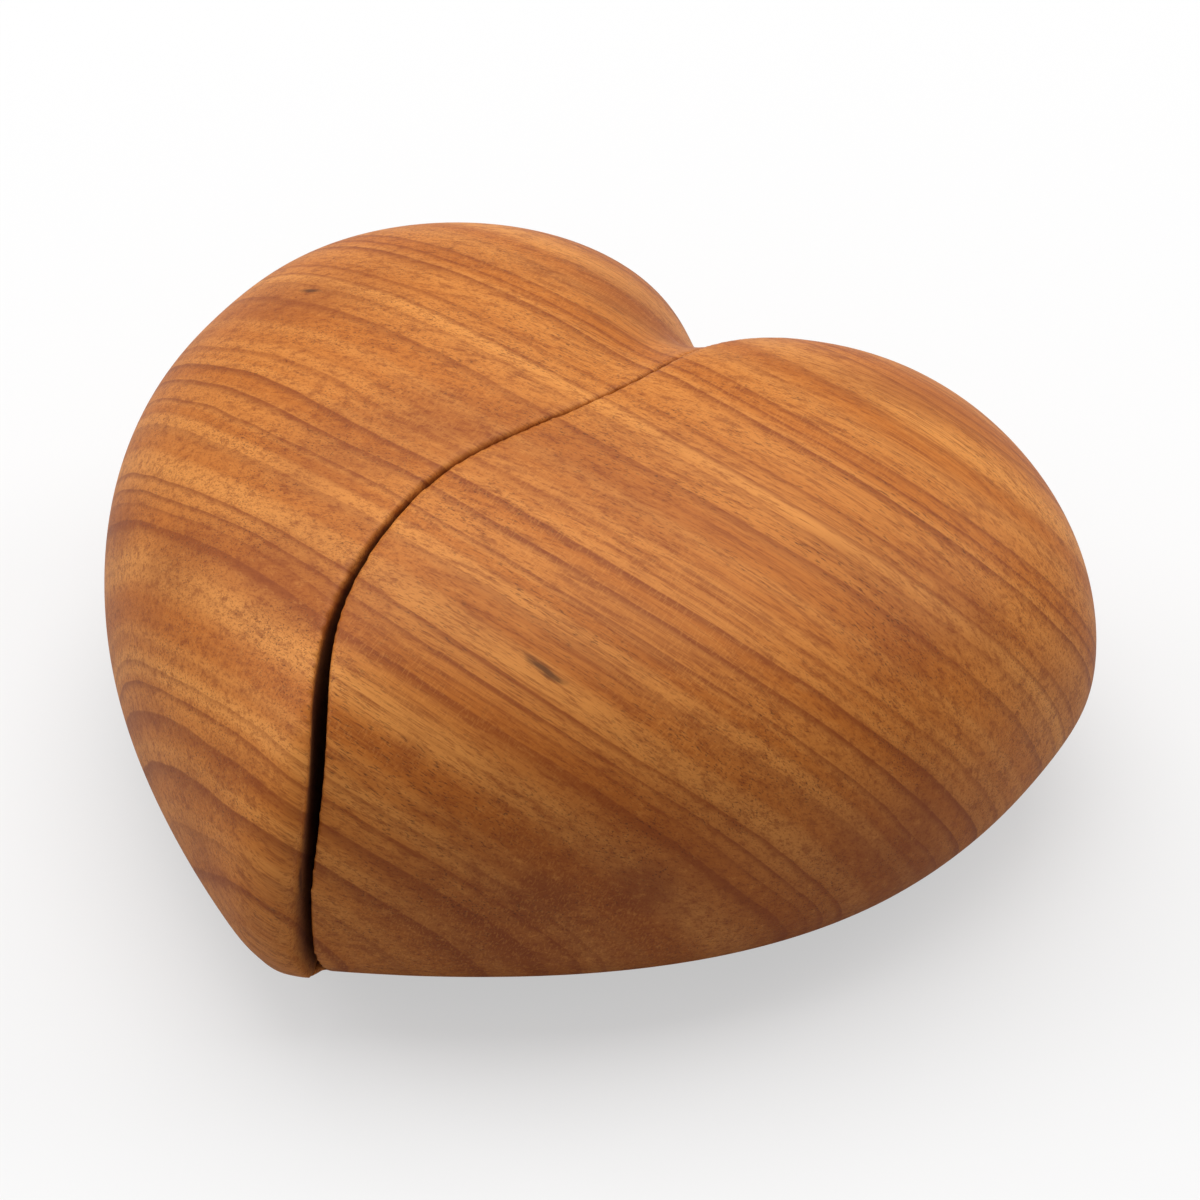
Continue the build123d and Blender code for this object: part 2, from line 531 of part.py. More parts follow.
# ---------------------------------------------------------------- winding: key, arbor, clutch
with BuildPart() as winding_key:
    lobe_z = KEY_GROUND_CLEARANCE + KEY_LOBE_RADIUS
    lobe_y = KEY_SPAN / 2 - KEY_LOBE_RADIUS
    with BuildSketch(Plane.YZ.offset(MOVEMENT_X)):
        with Locations((BARREL_Y - lobe_y, lobe_z), (BARREL_Y + lobe_y, lobe_z)):
            Circle(KEY_LOBE_RADIUS)
        with Locations((BARREL_Y, lobe_z)):
            Rectangle(2 * lobe_y, 1.2 * KEY_LOBE_RADIUS)
        with Locations((BARREL_Y - lobe_y, lobe_z), (BARREL_Y + lobe_y, lobe_z)):
            Circle(KEY_EYE_RADIUS, mode=Mode.SUBTRACT)
    extrude(amount=KEY_THICKNESS / 2, both=True)
    with Locations((MOVEMENT_X, BARREL_Y, KEY_RECESS_DEPTH - KEY_CEILING_GAP)):
        Cylinder(KEY_HUB_RADIUS, KEY_RECESS_DEPTH - KEY_CEILING_GAP - lobe_z + KEY_HUB_OVERLAP,
                 align=(Align.CENTER, Align.CENTER, Align.MAX))
        Cylinder(ARBOR_THREAD_RADIUS, ARBOR_THREAD_LENGTH, align=(Align.CENTER, Align.CENTER, Align.MAX),
                 mode=Mode.SUBTRACT)
    hub_rim = winding_key.faces().sort_by(Axis.Z)[-1].outer_wire().edges()
    chamfer(hub_rim, KEY_HUB_CHAMFER)
save(winding_key, "winding_key")

arbor_steps = [
    (ARBOR_THREAD_RADIUS, KEY_RECESS_DEPTH - KEY_CEILING_GAP - ARBOR_THREAD_LENGTH + 0.2,
     KEY_RECESS_DEPTH - KEY_CEILING_GAP),
    (ARBOR_RADIUS, KEY_RECESS_DEPTH - KEY_CEILING_GAP, BARREL_BOTTOM_Z + BARREL_WALL + RUNNING),
    (ARBOR_HUB_RADIUS, BARREL_BOTTOM_Z + BARREL_WALL + RUNNING, BARREL_TOP_Z - BARREL_WALL - RUNNING),
    (ARBOR_PIVOT_RADIUS, BARREL_TOP_Z - BARREL_WALL - RUNNING, BRIDGE_Z + BRIDGE_THICKNESS + 0.4),
]
with BuildPart() as winding_arbor:
    for step_radius, step_bottom, step_top in arbor_steps:
        with Locations((MOVEMENT_X, BARREL_Y, step_bottom)):
            Cylinder(step_radius, step_top - step_bottom, align=(Align.CENTER, Align.CENTER, Align.MIN))
save(winding_arbor, "winding_arbor")

with BuildPart() as clutch_spring:
    clutch_pitch = 2.3 * CLUTCH_WIRE_RADIUS
    clutch_radius = ARBOR_RADIUS + 2 * RUNNING + CLUTCH_WIRE_RADIUS
    clutch_z = PLATEAU_Z - CLUTCH_POCKET_DEPTH + 1.2 * CLUTCH_WIRE_RADIUS
    with BuildLine(Plane((MOVEMENT_X, BARREL_Y, clutch_z))) as coil:
        Helix(clutch_pitch, CLUTCH_TURNS * clutch_pitch - 0.2, clutch_radius)
    with BuildSketch(Plane(coil.line @ 0, z_dir=coil.line % 0)):
        Circle(CLUTCH_WIRE_RADIUS)
    sweep(is_frenet=True)
save(clutch_spring, "clutch_spring")

# ---------------------------------------------------------------- movement: frame
with BuildPart() as bedplate:
    with BuildSketch(Plane.XY.offset(PLATEAU_Z)):
        with Locations((MOVEMENT_X, BEDPLATE_CENTRE_Y)):
            RectangleRounded(BEDPLATE_WIDTH, BEDPLATE_LENGTH, BEDPLATE_CORNER)
        with Locations((MOVEMENT_X, BARREL_Y)):
            Circle(ARBOR_RADIUS + RUNNING, mode=Mode.SUBTRACT)
        with Locations(*MOUNT_SCREWS):
            Circle(MOUNT_SCREW_RADIUS + LOOSE, mode=Mode.SUBTRACT)
        # Slots for the tongues of the two bearings.
        for bearing_y in (FRONT_BEARING_Y, BACK_BEARING_Y):
            with Locations((MOVEMENT_X, bearing_y + BEARING_THICKNESS / 2)):
                Rectangle(BEARING_WIDTH - 2 + 2 * RUNNING, BEARING_THICKNESS + 2 * RUNNING,
                          mode=Mode.SUBTRACT)
    extrude(amount=BEDPLATE_THICKNESS)
    # Posts under the bridge.
    with BuildSketch(Plane.XY.offset(BED_Z)):
        with Locations(*POST_PLACES):
            RectangleRounded(*POST_SIZE, 0.8)
    extrude(amount=BRIDGE_Z - BED_Z)
    with Locations(*[(x, y, BRIDGE_Z) for x, y in POST_PLACES]):
        Cylinder(SMALL_SCREW_RADIUS + RUNNING, BRIDGE_SCREW_LENGTH - BRIDGE_THICKNESS + 0.5,
                 align=(Align.CENTER, Align.CENTER, Align.MAX), mode=Mode.SUBTRACT)
save(bedplate, "bedplate")

with BuildPart() as barrel_bridge:
    with BuildSketch(Plane.XY.offset(BRIDGE_Z)):
        with Locations((MOVEMENT_X, BARREL_Y)):
            SlotOverall(2 * POST_X_OFFSET + POST_SIZE[0], BRIDGE_WIDTH * 0.75)
            Circle(BRIDGE_WIDTH / 2)
            Circle(ARBOR_PIVOT_RADIUS + RUNNING, mode=Mode.SUBTRACT)
        with Locations(*POST_PLACES):
            Circle(SMALL_SCREW_HOLE, mode=Mode.SUBTRACT)
    extrude(amount=BRIDGE_THICKNESS)
save(barrel_bridge, "barrel_bridge")


def screw_group(places, head_z, head_radius, head_height, shank_radius, shank_length):
    """Slotted screws, pointing down, one at each place in X and Y."""
    with BuildPart() as screws:
        for x, y in places:
            with Locations((x, y, head_z)):
                Cylinder(head_radius, head_height, align=(Align.CENTER, Align.CENTER, Align.MIN))
                Cylinder(shank_radius, shank_length, align=(Align.CENTER, Align.CENTER, Align.MAX))
            with Locations((x, y, head_z + head_height)):
                Box(2 * head_radius, 0.25 * head_radius, 0.45 * head_height,
                    align=(Align.CENTER, Align.CENTER, Align.MAX), mode=Mode.SUBTRACT)
    return screws


save(screw_group(POST_PLACES, BRIDGE_Z + BRIDGE_THICKNESS, BRIDGE_SCREW_HEAD, BRIDGE_SCREW_HEAD_HEIGHT,
                 SMALL_SCREW_RADIUS, BRIDGE_SCREW_LENGTH), "bridge_screws")
save(screw_group(MOUNT_SCREWS, BED_Z, MOUNT_SCREW_HEAD, MOUNT_SCREW_HEAD_HEIGHT,
                 MOUNT_SCREW_RADIUS, BED_Z - MOUNT_SCREW_END_Z), "mount_screws")

for bearing_name, bearing_y in (("front_bearing", FRONT_BEARING_Y), ("back_bearing", BACK_BEARING_Y)):
    with BuildPart() as bearing:
        with BuildSketch(Plane.XZ.offset(-bearing_y)):
            with Locations((MOVEMENT_X, BED_Z)):
                Rectangle(BEARING_WIDTH, CYLINDER_Z - BED_Z, align=(Align.CENTER, Align.MIN))
            with Locations((MOVEMENT_X, CYLINDER_Z)):
                Circle(BEARING_WIDTH / 2)
            with Locations((MOVEMENT_X, PLATEAU_Z)):
                Rectangle(BEARING_WIDTH - 2, BEDPLATE_THICKNESS, align=(Align.CENTER, Align.MIN))
            with Locations((MOVEMENT_X, CYLINDER_Z)):
                Circle(CYLINDER_ARBOR_RADIUS + RUNNING, mode=Mode.SUBTRACT)
        extrude(amount=-BEARING_THICKNESS)
    save(bearing, bearing_name)

# ---------------------------------------------------------------- movement: spring barrel
with BuildPart() as spring_barrel:
    with BuildSketch(Plane.XY.offset(BARREL_BOTTOM_Z)):
        with Locations((MOVEMENT_X, BARREL_Y)):
            Circle(BARREL_RADIUS)
            Circle(ARBOR_RADIUS + RUNNING, mode=Mode.SUBTRACT)
    extrude(amount=BARREL_TOP_Z - BARREL_BOTTOM_Z)
    with BuildSketch(Plane.XY.offset(CROWN_TOP_Z - 2 * CROWN_ADDENDUM - CROWN_THICKNESS)):
        with Locations((MOVEMENT_X, BARREL_Y)):
            Circle(CROWN_RADIUS)
            Circle(BARREL_RADIUS - BARREL_WALL / 2, mode=Mode.SUBTRACT)
    extrude(amount=CROWN_THICKNESS)
    with Locations((MOVEMENT_X, BARREL_Y, BARREL_TOP_Z)):
        Cylinder(BARREL_RADIUS - BARREL_WALL, BARREL_TOP_Z - BARREL_BOTTOM_Z - BARREL_WALL,
                 align=(Align.CENTER, Align.CENTER, Align.MAX), mode=Mode.SUBTRACT)
    # Crown teeth, with a gap facing the cylinder's pinion.
    with BuildSketch(Plane.XY.offset(CROWN_TOP_Z - 2 * CROWN_ADDENDUM - 0.1)):
        with Locations(Location((MOVEMENT_X, BARREL_Y, 0), (0, 0, 90 + 180 / CROWN_TEETH))):
            with PolarLocations(CROWN_MEAN_RADIUS, CROWN_TEETH):
                Rectangle(PINION_LENGTH + 0.4, CROWN_TOOTH_WIDTH)
    extrude(amount=2 * CROWN_ADDENDUM + 0.1)
save(spring_barrel, "spring_barrel")

save(ring_piece((MOVEMENT_X, BARREL_Y), BARREL_RADIUS - BARREL_WALL, ARBOR_PIVOT_RADIUS + RUNNING,
                BARREL_TOP_Z - BARREL_WALL, BARREL_TOP_Z), "barrel_cover")


def spiral_points(inward):
    """Points along one side of the mainspring's strip, from the hub out to the barrel wall."""
    start = ARBOR_HUB_RADIUS + 1.0 - inward
    growth = (BARREL_RADIUS - BARREL_WALL - 0.2 - ARBOR_HUB_RADIUS - 1.0) / SPRING_TURNS
    points = []
    for step in range(12 * SPRING_TURNS + 1):
        turn = 2 * pi * step / 12
        radius = start + growth * step / 12
        points.append((radius * cos(turn), radius * sin(turn)))
    return points


with BuildPart() as mainspring:
    with BuildSketch(Plane((MOVEMENT_X, BARREL_Y, BARREL_BOTTOM_Z + BARREL_WALL + 0.6))):
        with BuildLine():
            outer_side = Spline(*spiral_points(0))
            inner_side = Spline(*spiral_points(SPRING_STRIP))
            Line(outer_side @ 0, inner_side @ 0)
            Line(outer_side @ 1, inner_side @ 1)
        make_face()
    extrude(amount=BARREL_TOP_Z - BARREL_BOTTOM_Z - 2 * BARREL_WALL - 1.2)
save(mainspring, "mainspring")

# ---------------------------------------------------------------- movement: tune cylinder
def pin_places():
    """Row and angle of every pin: a rising figure with a slower lower voice."""
    places = []
    step = 360 / TUNE_BEATS
    for beat in range(TUNE_BEATS):
        places.append((5 * beat % NOTES, step * (beat + 0.4)))
        if beat % 3 == 0:
            places.append((7 * beat % NOTES, step * (beat + 0.9)))
    return places


with BuildPart() as tune_cylinder:
    with BuildSketch(plane_along_y(MOVEMENT_X, SLEEVE_FRONT_Y, CYLINDER_Z)):
        Circle(CYLINDER_RADIUS)
        Circle(CYLINDER_RADIUS - CYLINDER_WALL, mode=Mode.SUBTRACT)
    extrude(amount=SLEEVE_BACK_Y - SLEEVE_FRONT_Y)
    pin_planes = []
    for row, angle in pin_places():
        outward = Vector(cos(radians(angle)), 0, sin(radians(angle)))
        foot = Vector(MOVEMENT_X, FIRST_NOTE_Y + row * NOTE_PITCH, CYLINDER_Z)
        pin_planes.append(Plane(origin=foot + outward * (CYLINDER_RADIUS - 0.2), z_dir=outward))
    with Locations(*pin_planes):
        Cylinder(PIN_RADIUS, PIN_HEIGHT + 0.2, align=(Align.CENTER, Align.CENTER, Align.MIN))
save(tune_cylinder, "tune_cylinder")

with BuildPart() as cylinder_ends:
    for end_y in (SLEEVE_FRONT_Y + 0.5, SLEEVE_BACK_Y - 0.5 - END_DISC_THICKNESS):
        with BuildSketch(plane_along_y(MOVEMENT_X, end_y, CYLINDER_Z)):
            Circle(CYLINDER_RADIUS - CYLINDER_WALL)
            Circle(CYLINDER_ARBOR_RADIUS, mode=Mode.SUBTRACT)
        extrude(amount=END_DISC_THICKNESS)
save(cylinder_ends, "cylinder_ends")

with BuildPart() as cylinder_arbor:
    arbor_front = PINION_Y - PINION_LENGTH / 2 - 0.4
    with BuildSketch(plane_along_y(MOVEMENT_X, arbor_front, CYLINDER_Z)):
        Circle(CYLINDER_ARBOR_RADIUS)
    extrude(amount=BACK_BEARING_Y + BEARING_THICKNESS + 0.6 - arbor_front)
save(cylinder_arbor, "cylinder_arbor")

with BuildPart() as cylinder_pinion:
    with BuildSketch(plane_along_y(MOVEMENT_X, PINION_Y - PINION_LENGTH / 2, CYLINDER_Z)):
        gear_outline(PINION_RADIUS, PINION_TEETH, CROWN_ADDENDUM)
        Circle(CYLINDER_ARBOR_RADIUS, mode=Mode.SUBTRACT)
    extrude(amount=PINION_LENGTH)
save(cylinder_pinion, "cylinder_pinion")

with BuildPart() as drive_wheel:
    with BuildSketch(plane_along_y(MOVEMENT_X, DRIVE_WHEEL_Y, CYLINDER_Z)):
        gear_outline(WHEEL_DRIVE_RADIUS, WHEEL_DRIVE_TEETH, SMALL_TOOTH_HEIGHT)
        Circle(CYLINDER_ARBOR_RADIUS, mode=Mode.SUBTRACT)
        with PolarLocations((CYLINDER_ARBOR_RADIUS + WHEEL_DRIVE_RADIUS) / 2, DRIVE_WHEEL_WINDOWS):
            Circle(DRIVE_WHEEL_WINDOW_RADIUS, mode=Mode.SUBTRACT)
    extrude(amount=DRIVE_WHEEL_THICKNESS)
save(drive_wheel, "drive_wheel")

# ---------------------------------------------------------------- movement: comb
comb_front_y = FIRST_NOTE_Y - NOTE_PITCH / 2
comb_back_y = LAST_NOTE_Y + NOTE_PITCH / 2
comb_bottom_z = CYLINDER_Z - COMB_THICKNESS / 2
comb_screw_x = COMB_HEEL_X + COMB_SEAT / 2
comb_screw_places = [(comb_screw_x, comb_front_y + COMB_SCREW_INSET),
                     (comb_screw_x, comb_back_y - COMB_SCREW_INSET)]

with BuildPart() as comb:
    with BuildSketch(Plane.XY.offset(comb_bottom_z)):
        with Locations((COMB_HEEL_X, comb_front_y)):
            Rectangle(COMB_DEPTH, comb_back_y - comb_front_y, align=(Align.MIN, Align.MIN))
        for note in range(1, NOTES):
            slot = COMB_BASS_SLOT + (COMB_TREBLE_SLOT - COMB_BASS_SLOT) * note / NOTES
            with Locations((COMB_TIP_X, comb_front_y + note * NOTE_PITCH)):
                Rectangle(slot, TOOTH_GAP, align=(Align.MAX, Align.CENTER), mode=Mode.SUBTRACT)
        with Locations(*comb_screw_places):
            Circle(SMALL_SCREW_HOLE, mode=Mode.SUBTRACT)
    extrude(amount=COMB_THICKNESS)
save(comb, "comb")

with BuildPart() as comb_block:
    with BuildSketch(Plane.XY.offset(BED_Z)):
        with Locations((COMB_HEEL_X, comb_front_y)):
            Rectangle(COMB_SEAT, comb_back_y - comb_front_y, align=(Align.MIN, Align.MIN))
        with Locations(*comb_screw_places):
            Circle(SMALL_SCREW_RADIUS + RUNNING, mode=Mode.SUBTRACT)
    extrude(amount=comb_bottom_z - BED_Z)
save(comb_block, "comb_block")
save(screw_group(comb_screw_places, comb_bottom_z + COMB_THICKNESS, COMB_SCREW_HEAD,
                 COMB_SCREW_HEAD_HEIGHT, SMALL_SCREW_RADIUS, COMB_SCREW_LENGTH), "comb_screws")

with BuildPart() as bass_weights:
    for note in range(BASS_TEETH):
        with Locations((COMB_TIP_X - 0.6, FIRST_NOTE_Y + note * NOTE_PITCH, comb_bottom_z)):
            Box(BASS_WEIGHT_LENGTH - BASS_WEIGHT_TAPER * note, NOTE_PITCH - 2 * TOOTH_GAP,
                BASS_WEIGHT_HEIGHT, align=(Align.MAX, Align.CENTER, Align.MAX))
save(bass_weights, "bass_weights")

# ---------------------------------------------------------------- movement: governor
frame_east = WORM_X + FRAME_EAST_MARGIN
frame_west = GOVERNOR_X - FRAME_WEST_MARGIN
column_y = WORM_Y + FAN_RADIUS + 0.6
governor_screw_places = [(WORM_X + 1.8, GOVERNOR_FRONT_CHEEK_Y - 0.8),
                         (frame_west + 2.2, column_y - 0.4)]

with BuildPart() as governor_frame:
    with BuildSketch(Plane.XY.offset(BED_Z)):
        with Locations((frame_west, GOVERNOR_FRONT_CHEEK_Y - 2.6)):
            Rectangle(frame_east - frame_west, column_y + FRAME_COLUMN - GOVERNOR_FRONT_CHEEK_Y + 2.6,
                      align=(Align.MIN, Align.MIN))
        # Clear of the drive wheel.
        with Locations((frame_west - 1, GOVERNOR_FRONT_CHEEK_Y - 3)):
            Rectangle(4.2, 3.0, align=(Align.MIN, Align.MIN), mode=Mode.SUBTRACT)
        with Locations(*governor_screw_places):
            Circle(SMALL_SCREW_HOLE, mode=Mode.SUBTRACT)
    extrude(amount=FRAME_FOOT)
    # Two cheeks that hold the wheel's arbor.
    for cheek_y in (GOVERNOR_FRONT_CHEEK_Y, GOVERNOR_BACK_CHEEK_Y):
        with BuildSketch(Plane.XZ.offset(-cheek_y)):
            with Locations((GOVERNOR_X, BED_Z)):
                Rectangle(CHEEK_WIDTH, CYLINDER_Z - BED_Z, align=(Align.CENTER, Align.MIN))
            with Locations((GOVERNOR_X, CYLINDER_Z)):
                Circle(CHEEK_WIDTH / 2)
                Circle(GOVERNOR_ARBOR_RADIUS + RUNNING, mode=Mode.SUBTRACT)
        extrude(amount=-CHEEK_THICKNESS)
    # Column and arm over the air brake.
    with BuildSketch(Plane.XY.offset(BED_Z)):
        with Locations((WORM_X, column_y)):
            Rectangle(CHEEK_WIDTH, FRAME_COLUMN, align=(Align.CENTER, Align.MIN))
    extrude(amount=FRAME_ARM_Z + FRAME_ARM - BED_Z)
    with BuildSketch(Plane.XY.offset(FRAME_ARM_Z)):
        with Locations((WORM_X, WORM_Y - 1.8)):
            Rectangle(CHEEK_WIDTH, column_y + FRAME_COLUMN - WORM_Y + 1.8,
                      align=(Align.CENTER, Align.MIN))
    extrude(amount=FRAME_ARM)
    # Holes for the worm's two pivots.
    with Locations((WORM_X, WORM_Y, BED_Z + 0.4)):
        Cylinder(GOVERNOR_ARBOR_RADIUS + RUNNING, FRAME_ARM_Z + FRAME_ARM - BED_Z,
                 align=(Align.CENTER, Align.CENTER, Align.MIN), mode=Mode.SUBTRACT)
save(governor_frame, "governor_frame")
save(screw_group(governor_screw_places, BED_Z + FRAME_FOOT, GOVERNOR_SCREW_HEAD,
                 GOVERNOR_SCREW_HEAD_HEIGHT, SMALL_SCREW_RADIUS, FRAME_FOOT), "governor_screws")

with BuildPart() as governor_wheel:
    pinion_front = DRIVE_WHEEL_Y - 0.1
    with BuildSketch(plane_along_y(GOVERNOR_X, pinion_front, CYLINDER_Z)):
        gear_outline(GOVERNOR_PINION_RADIUS, GOVERNOR_PINION_TEETH, SMALL_TOOTH_HEIGHT,
                     180 / GOVERNOR_PINION_TEETH)
    extrude(amount=DRIVE_WHEEL_THICKNESS + 0.2)
    with BuildSketch(plane_along_y(GOVERNOR_X, GOVERNOR_WHEEL_Y, CYLINDER_Z)):
        gear_outline(GOVERNOR_WHEEL_RADIUS, GOVERNOR_WHEEL_TEETH, GOVERNOR_WHEEL_ADDENDUM)
    extrude(amount=GOVERNOR_WHEEL_THICKNESS)
    with BuildSketch(plane_along_y(GOVERNOR_X, pinion_front - 0.3, CYLINDER_Z)):
        Circle(GOVERNOR_ARBOR_RADIUS)
    extrude(amount=GOVERNOR_BACK_CHEEK_Y + CHEEK_THICKNESS - pinion_front + 0.5)
save(governor_wheel, "governor_wheel")

with BuildPart() as worm_spindle:
    with Locations((WORM_X, WORM_Y, BED_Z + 0.5)):
        Cylinder(GOVERNOR_ARBOR_RADIUS, FRAME_ARM_Z + FRAME_ARM - BED_Z - 0.7,
                 align=(Align.CENTER, Align.CENTER, Align.MIN))
    with Locations((WORM_X, WORM_Y, CYLINDER_Z)):
        Cylinder(WORM_RADIUS - 0.5, 8 * WORM_LEAD)
    with BuildLine(Plane((WORM_X, WORM_Y, CYLINDER_Z - 3 * WORM_LEAD))) as thread:
        Helix(WORM_LEAD, 6 * WORM_LEAD, WORM_RADIUS - 0.52)
    with BuildSketch(Plane(thread.line @ 0, x_dir=(1, 0, 0), z_dir=thread.line % 0)):
        Polygon((0, -0.25), (0.92, -0.14), (0.92, 0.14), (0, 0.25), align=None)
    sweep(is_frenet=True)
save(worm_spindle, "worm_spindle")

with BuildPart() as air_brake:
    with BuildSketch(Plane((WORM_X, WORM_Y, FAN_Z))):
        Circle(FAN_HUB_RADIUS)
        Rectangle(2 * FAN_RADIUS, FAN_BLADE)
        Circle(GOVERNOR_ARBOR_RADIUS, mode=Mode.SUBTRACT)
    extrude(amount=FAN_HEIGHT)
save(air_brake, "air_brake")
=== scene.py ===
"""Looks of the carved cherry heart music box: oiled wood, felt lining and the movement's metals.

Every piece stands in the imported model's frame, in metres. The carved wood is sanded anew from the
model's own solids, the tray gets a fibrous felt lining, and all other parts keep their meshes and
get their finishes.
"""

import logging
from dataclasses import dataclass, field
from enum import Enum
from math import cos, radians, sin

import bmesh
import bpy
import numpy as np
from mathutils import Matrix, Vector


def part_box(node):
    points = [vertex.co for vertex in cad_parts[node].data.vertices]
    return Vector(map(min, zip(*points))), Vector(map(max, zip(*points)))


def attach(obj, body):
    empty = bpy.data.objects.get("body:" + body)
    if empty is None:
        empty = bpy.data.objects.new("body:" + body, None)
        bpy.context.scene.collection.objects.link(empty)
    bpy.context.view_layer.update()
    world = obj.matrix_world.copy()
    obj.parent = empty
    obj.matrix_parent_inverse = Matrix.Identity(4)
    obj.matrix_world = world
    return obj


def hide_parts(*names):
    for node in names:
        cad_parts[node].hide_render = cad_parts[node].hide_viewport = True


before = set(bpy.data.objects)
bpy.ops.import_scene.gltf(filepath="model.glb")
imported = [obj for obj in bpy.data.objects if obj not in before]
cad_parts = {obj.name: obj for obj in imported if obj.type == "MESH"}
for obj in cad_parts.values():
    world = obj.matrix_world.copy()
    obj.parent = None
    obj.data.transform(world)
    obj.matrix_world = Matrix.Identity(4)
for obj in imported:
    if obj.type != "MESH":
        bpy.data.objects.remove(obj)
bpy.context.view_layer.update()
MM = 0.001
Colour = tuple[float, float, float, float]
log = logging.getLogger("music_box")


def rgb(red: float, green: float, blue: float) -> Colour:
    """A linear colour with full alpha, from its three parts."""
    return (red, green, blue, 1.0)


def grey(tone: float) -> Colour:
    """A neutral linear colour."""
    return rgb(tone, tone, tone)


@dataclass
class ShaderTree:
    """A new material whose nodes are added and joined by short calls.

    Attributes:
        name: The material's name.
    """

    name: str
    material: bpy.types.Material = field(init=False)
    shader: bpy.types.Node = field(init=False)

    def __post_init__(self) -> None:
        """Start from a plain principled shader."""
        self.material = bpy.data.materials.new(self.name)
        self.material.use_nodes = True
        self.shader = self.material.node_tree.nodes["Principled BSDF"]

    def add(self, kind: str, **settings: object) -> bpy.types.Node:
        """Add one node.

        Args:
            kind: The node's type, without its ShaderNode prefix.
            **settings: Properties to set on it.

        Returns:
            The new node.
        """
        node = self.material.node_tree.nodes.new("ShaderNode" + kind)
        for name, value in settings.items():
            setattr(node, name, value)
        return node

    def join(self, source: object, socket: bpy.types.NodeSocket) -> None:
        """Feed a socket from another socket, or set it to a constant.

        Args:
            source: An output socket or a value.
            socket: The input that takes it.
        """
        if isinstance(source, bpy.types.NodeSocket):
            self.material.node_tree.links.new(source, socket)
        else:
            socket.default_value = source

    def math(self, operation: str, *values: object, clamp: bool = False) -> bpy.types.NodeSocket:
        """Work out one number.

        Args:
            operation: Name of the Math operation.
            *values: Its inputs, as sockets or numbers.
            clamp: Whether to keep the result between 0 and 1.

        Returns:
            The result's socket.
        """
        node = self.add("Math", operation=operation, use_clamp=clamp)
        for index, value in enumerate(values):
            self.join(value, node.inputs[index])
        return node.outputs[0]

    def vector(self, operation: str, *values: object) -> bpy.types.Node:
        """Work on vectors.

        Args:
            operation: Name of the Vector Math operation.
            *values: Its inputs, as sockets or triples.

        Returns:
            The node, whose outputs differ between operations.
        """
        node = self.add("VectorMath", operation=operation)
        for index, value in enumerate(values):
            self.join(value, node.inputs[index])
        return node

    def noise(
        self, place: object, scale: float, detail: float = 2.0, roughness: float = 0.5
    ) -> bpy.types.NodeSocket:
        """Smooth noise from 0 to 1.

        Args:
            place: Socket of the position.
            scale: Waves to a unit of that position.
            detail: Octaves of finer noise.
            roughness: Share of each finer octave.

        Returns:
            The noise's value socket.
        """
        node = self.add("TexNoise", noise_dimensions="3D")
        self.join(place, node.inputs["Vector"])
        node.inputs["Scale"].default_value = scale
        node.inputs["Detail"].default_value = detail
        node.inputs["Roughness"].default_value = roughness
        return node.outputs["Fac"]

    def noise_along(self, value: object, scale: float, detail: float = 2.0) -> bpy.types.NodeSocket:
        """Noise that changes along one number only.

        Args:
            value: Socket of that number.
            scale: Waves to a unit of it.
            detail: Octaves of finer noise.

        Returns:
            The noise's value socket.
        """
        node = self.add("TexNoise", noise_dimensions="1D")
        self.join(value, node.inputs["W"])
        node.inputs["Scale"].default_value = scale
        node.inputs["Detail"].default_value = detail
        return node.outputs["Fac"]

    def between(self, value: object, low: float, high: float) -> bpy.types.NodeSocket:
        """Smooth step of a value from 0 at low to 1 at high.

        Args:
            value: Socket of the value.
            low: Where the step starts.
            high: Where it ends; it may be below low.

        Returns:
            The step's socket.
        """
        node = self.add("MapRange", interpolation_type="SMOOTHSTEP", clamp=True)
        self.join(value, node.inputs["Value"])
        node.inputs["From Min"].default_value = min(low, high)
        node.inputs["From Max"].default_value = max(low, high)
        node.inputs["To Min"].default_value = 0.0 if low < high else 1.0
        node.inputs["To Max"].default_value = 1.0 if low < high else 0.0
        return node.outputs["Result"]

    def blend(self, share: object, first: object, second: object) -> bpy.types.NodeSocket:
        """Mix two colours.

        Args:
            share: How much of the second colour there is.
            first: First colour.
            second: Second colour.

        Returns:
            The mixed colour's socket.
        """
        node = self.add("Mix", data_type="RGBA", blend_type="MIX")
        self.join(share, node.inputs["Factor"])
        self.join(first, node.inputs["A"])
        self.join(second, node.inputs["B"])
        return node.outputs["Result"]

    def relief(self, height: object, depth: float, strength: float = 1.0) -> None:
        """Give the surface a fine relief.

        Args:
            height: Socket of the height, from 0 to 1.
            depth: What 1 stands for, in metres.
            strength: Share of the relief that shows.
        """
        node = self.add("Bump")
        node.inputs["Strength"].default_value = strength
        node.inputs["Distance"].default_value = depth
        self.join(height, node.inputs["Height"])
        self.join(node.outputs["Normal"], self.shader.inputs["Normal"])

    def scaled(self, value: object, factor: float) -> bpy.types.NodeSocket:
        """A value times a plain number."""
        return self.math("MULTIPLY", value, factor)

    def set(self, **values: float) -> None:
        """Set plain numbers on the shader, named by its sockets with _ for a space."""
        for name, value in values.items():
            self.shader.inputs[name.replace("_", " ")].default_value = value


class Cut(Enum):
    """How the surface of a wooden piece was made."""

    CARVED = 0.0
    SAWN = 1.0


class Arris(Enum):
    """How a wooden piece's edges are meshed: kept as crisp as they were cut, or worn round."""

    CRISP = "SHARP"
    WORN = "VOXEL"


@dataclass(frozen=True)
class Grain:
    """Noise that is drawn out along the fibres.

    Attributes:
        along: Waves to a metre along the fibres.
        across: Waves to a metre across them.
        detail: Octaves of finer noise.
        roughness: Share of each finer octave.
    """

    along: float
    across: float
    detail: float = 2.0
    roughness: float = 0.5


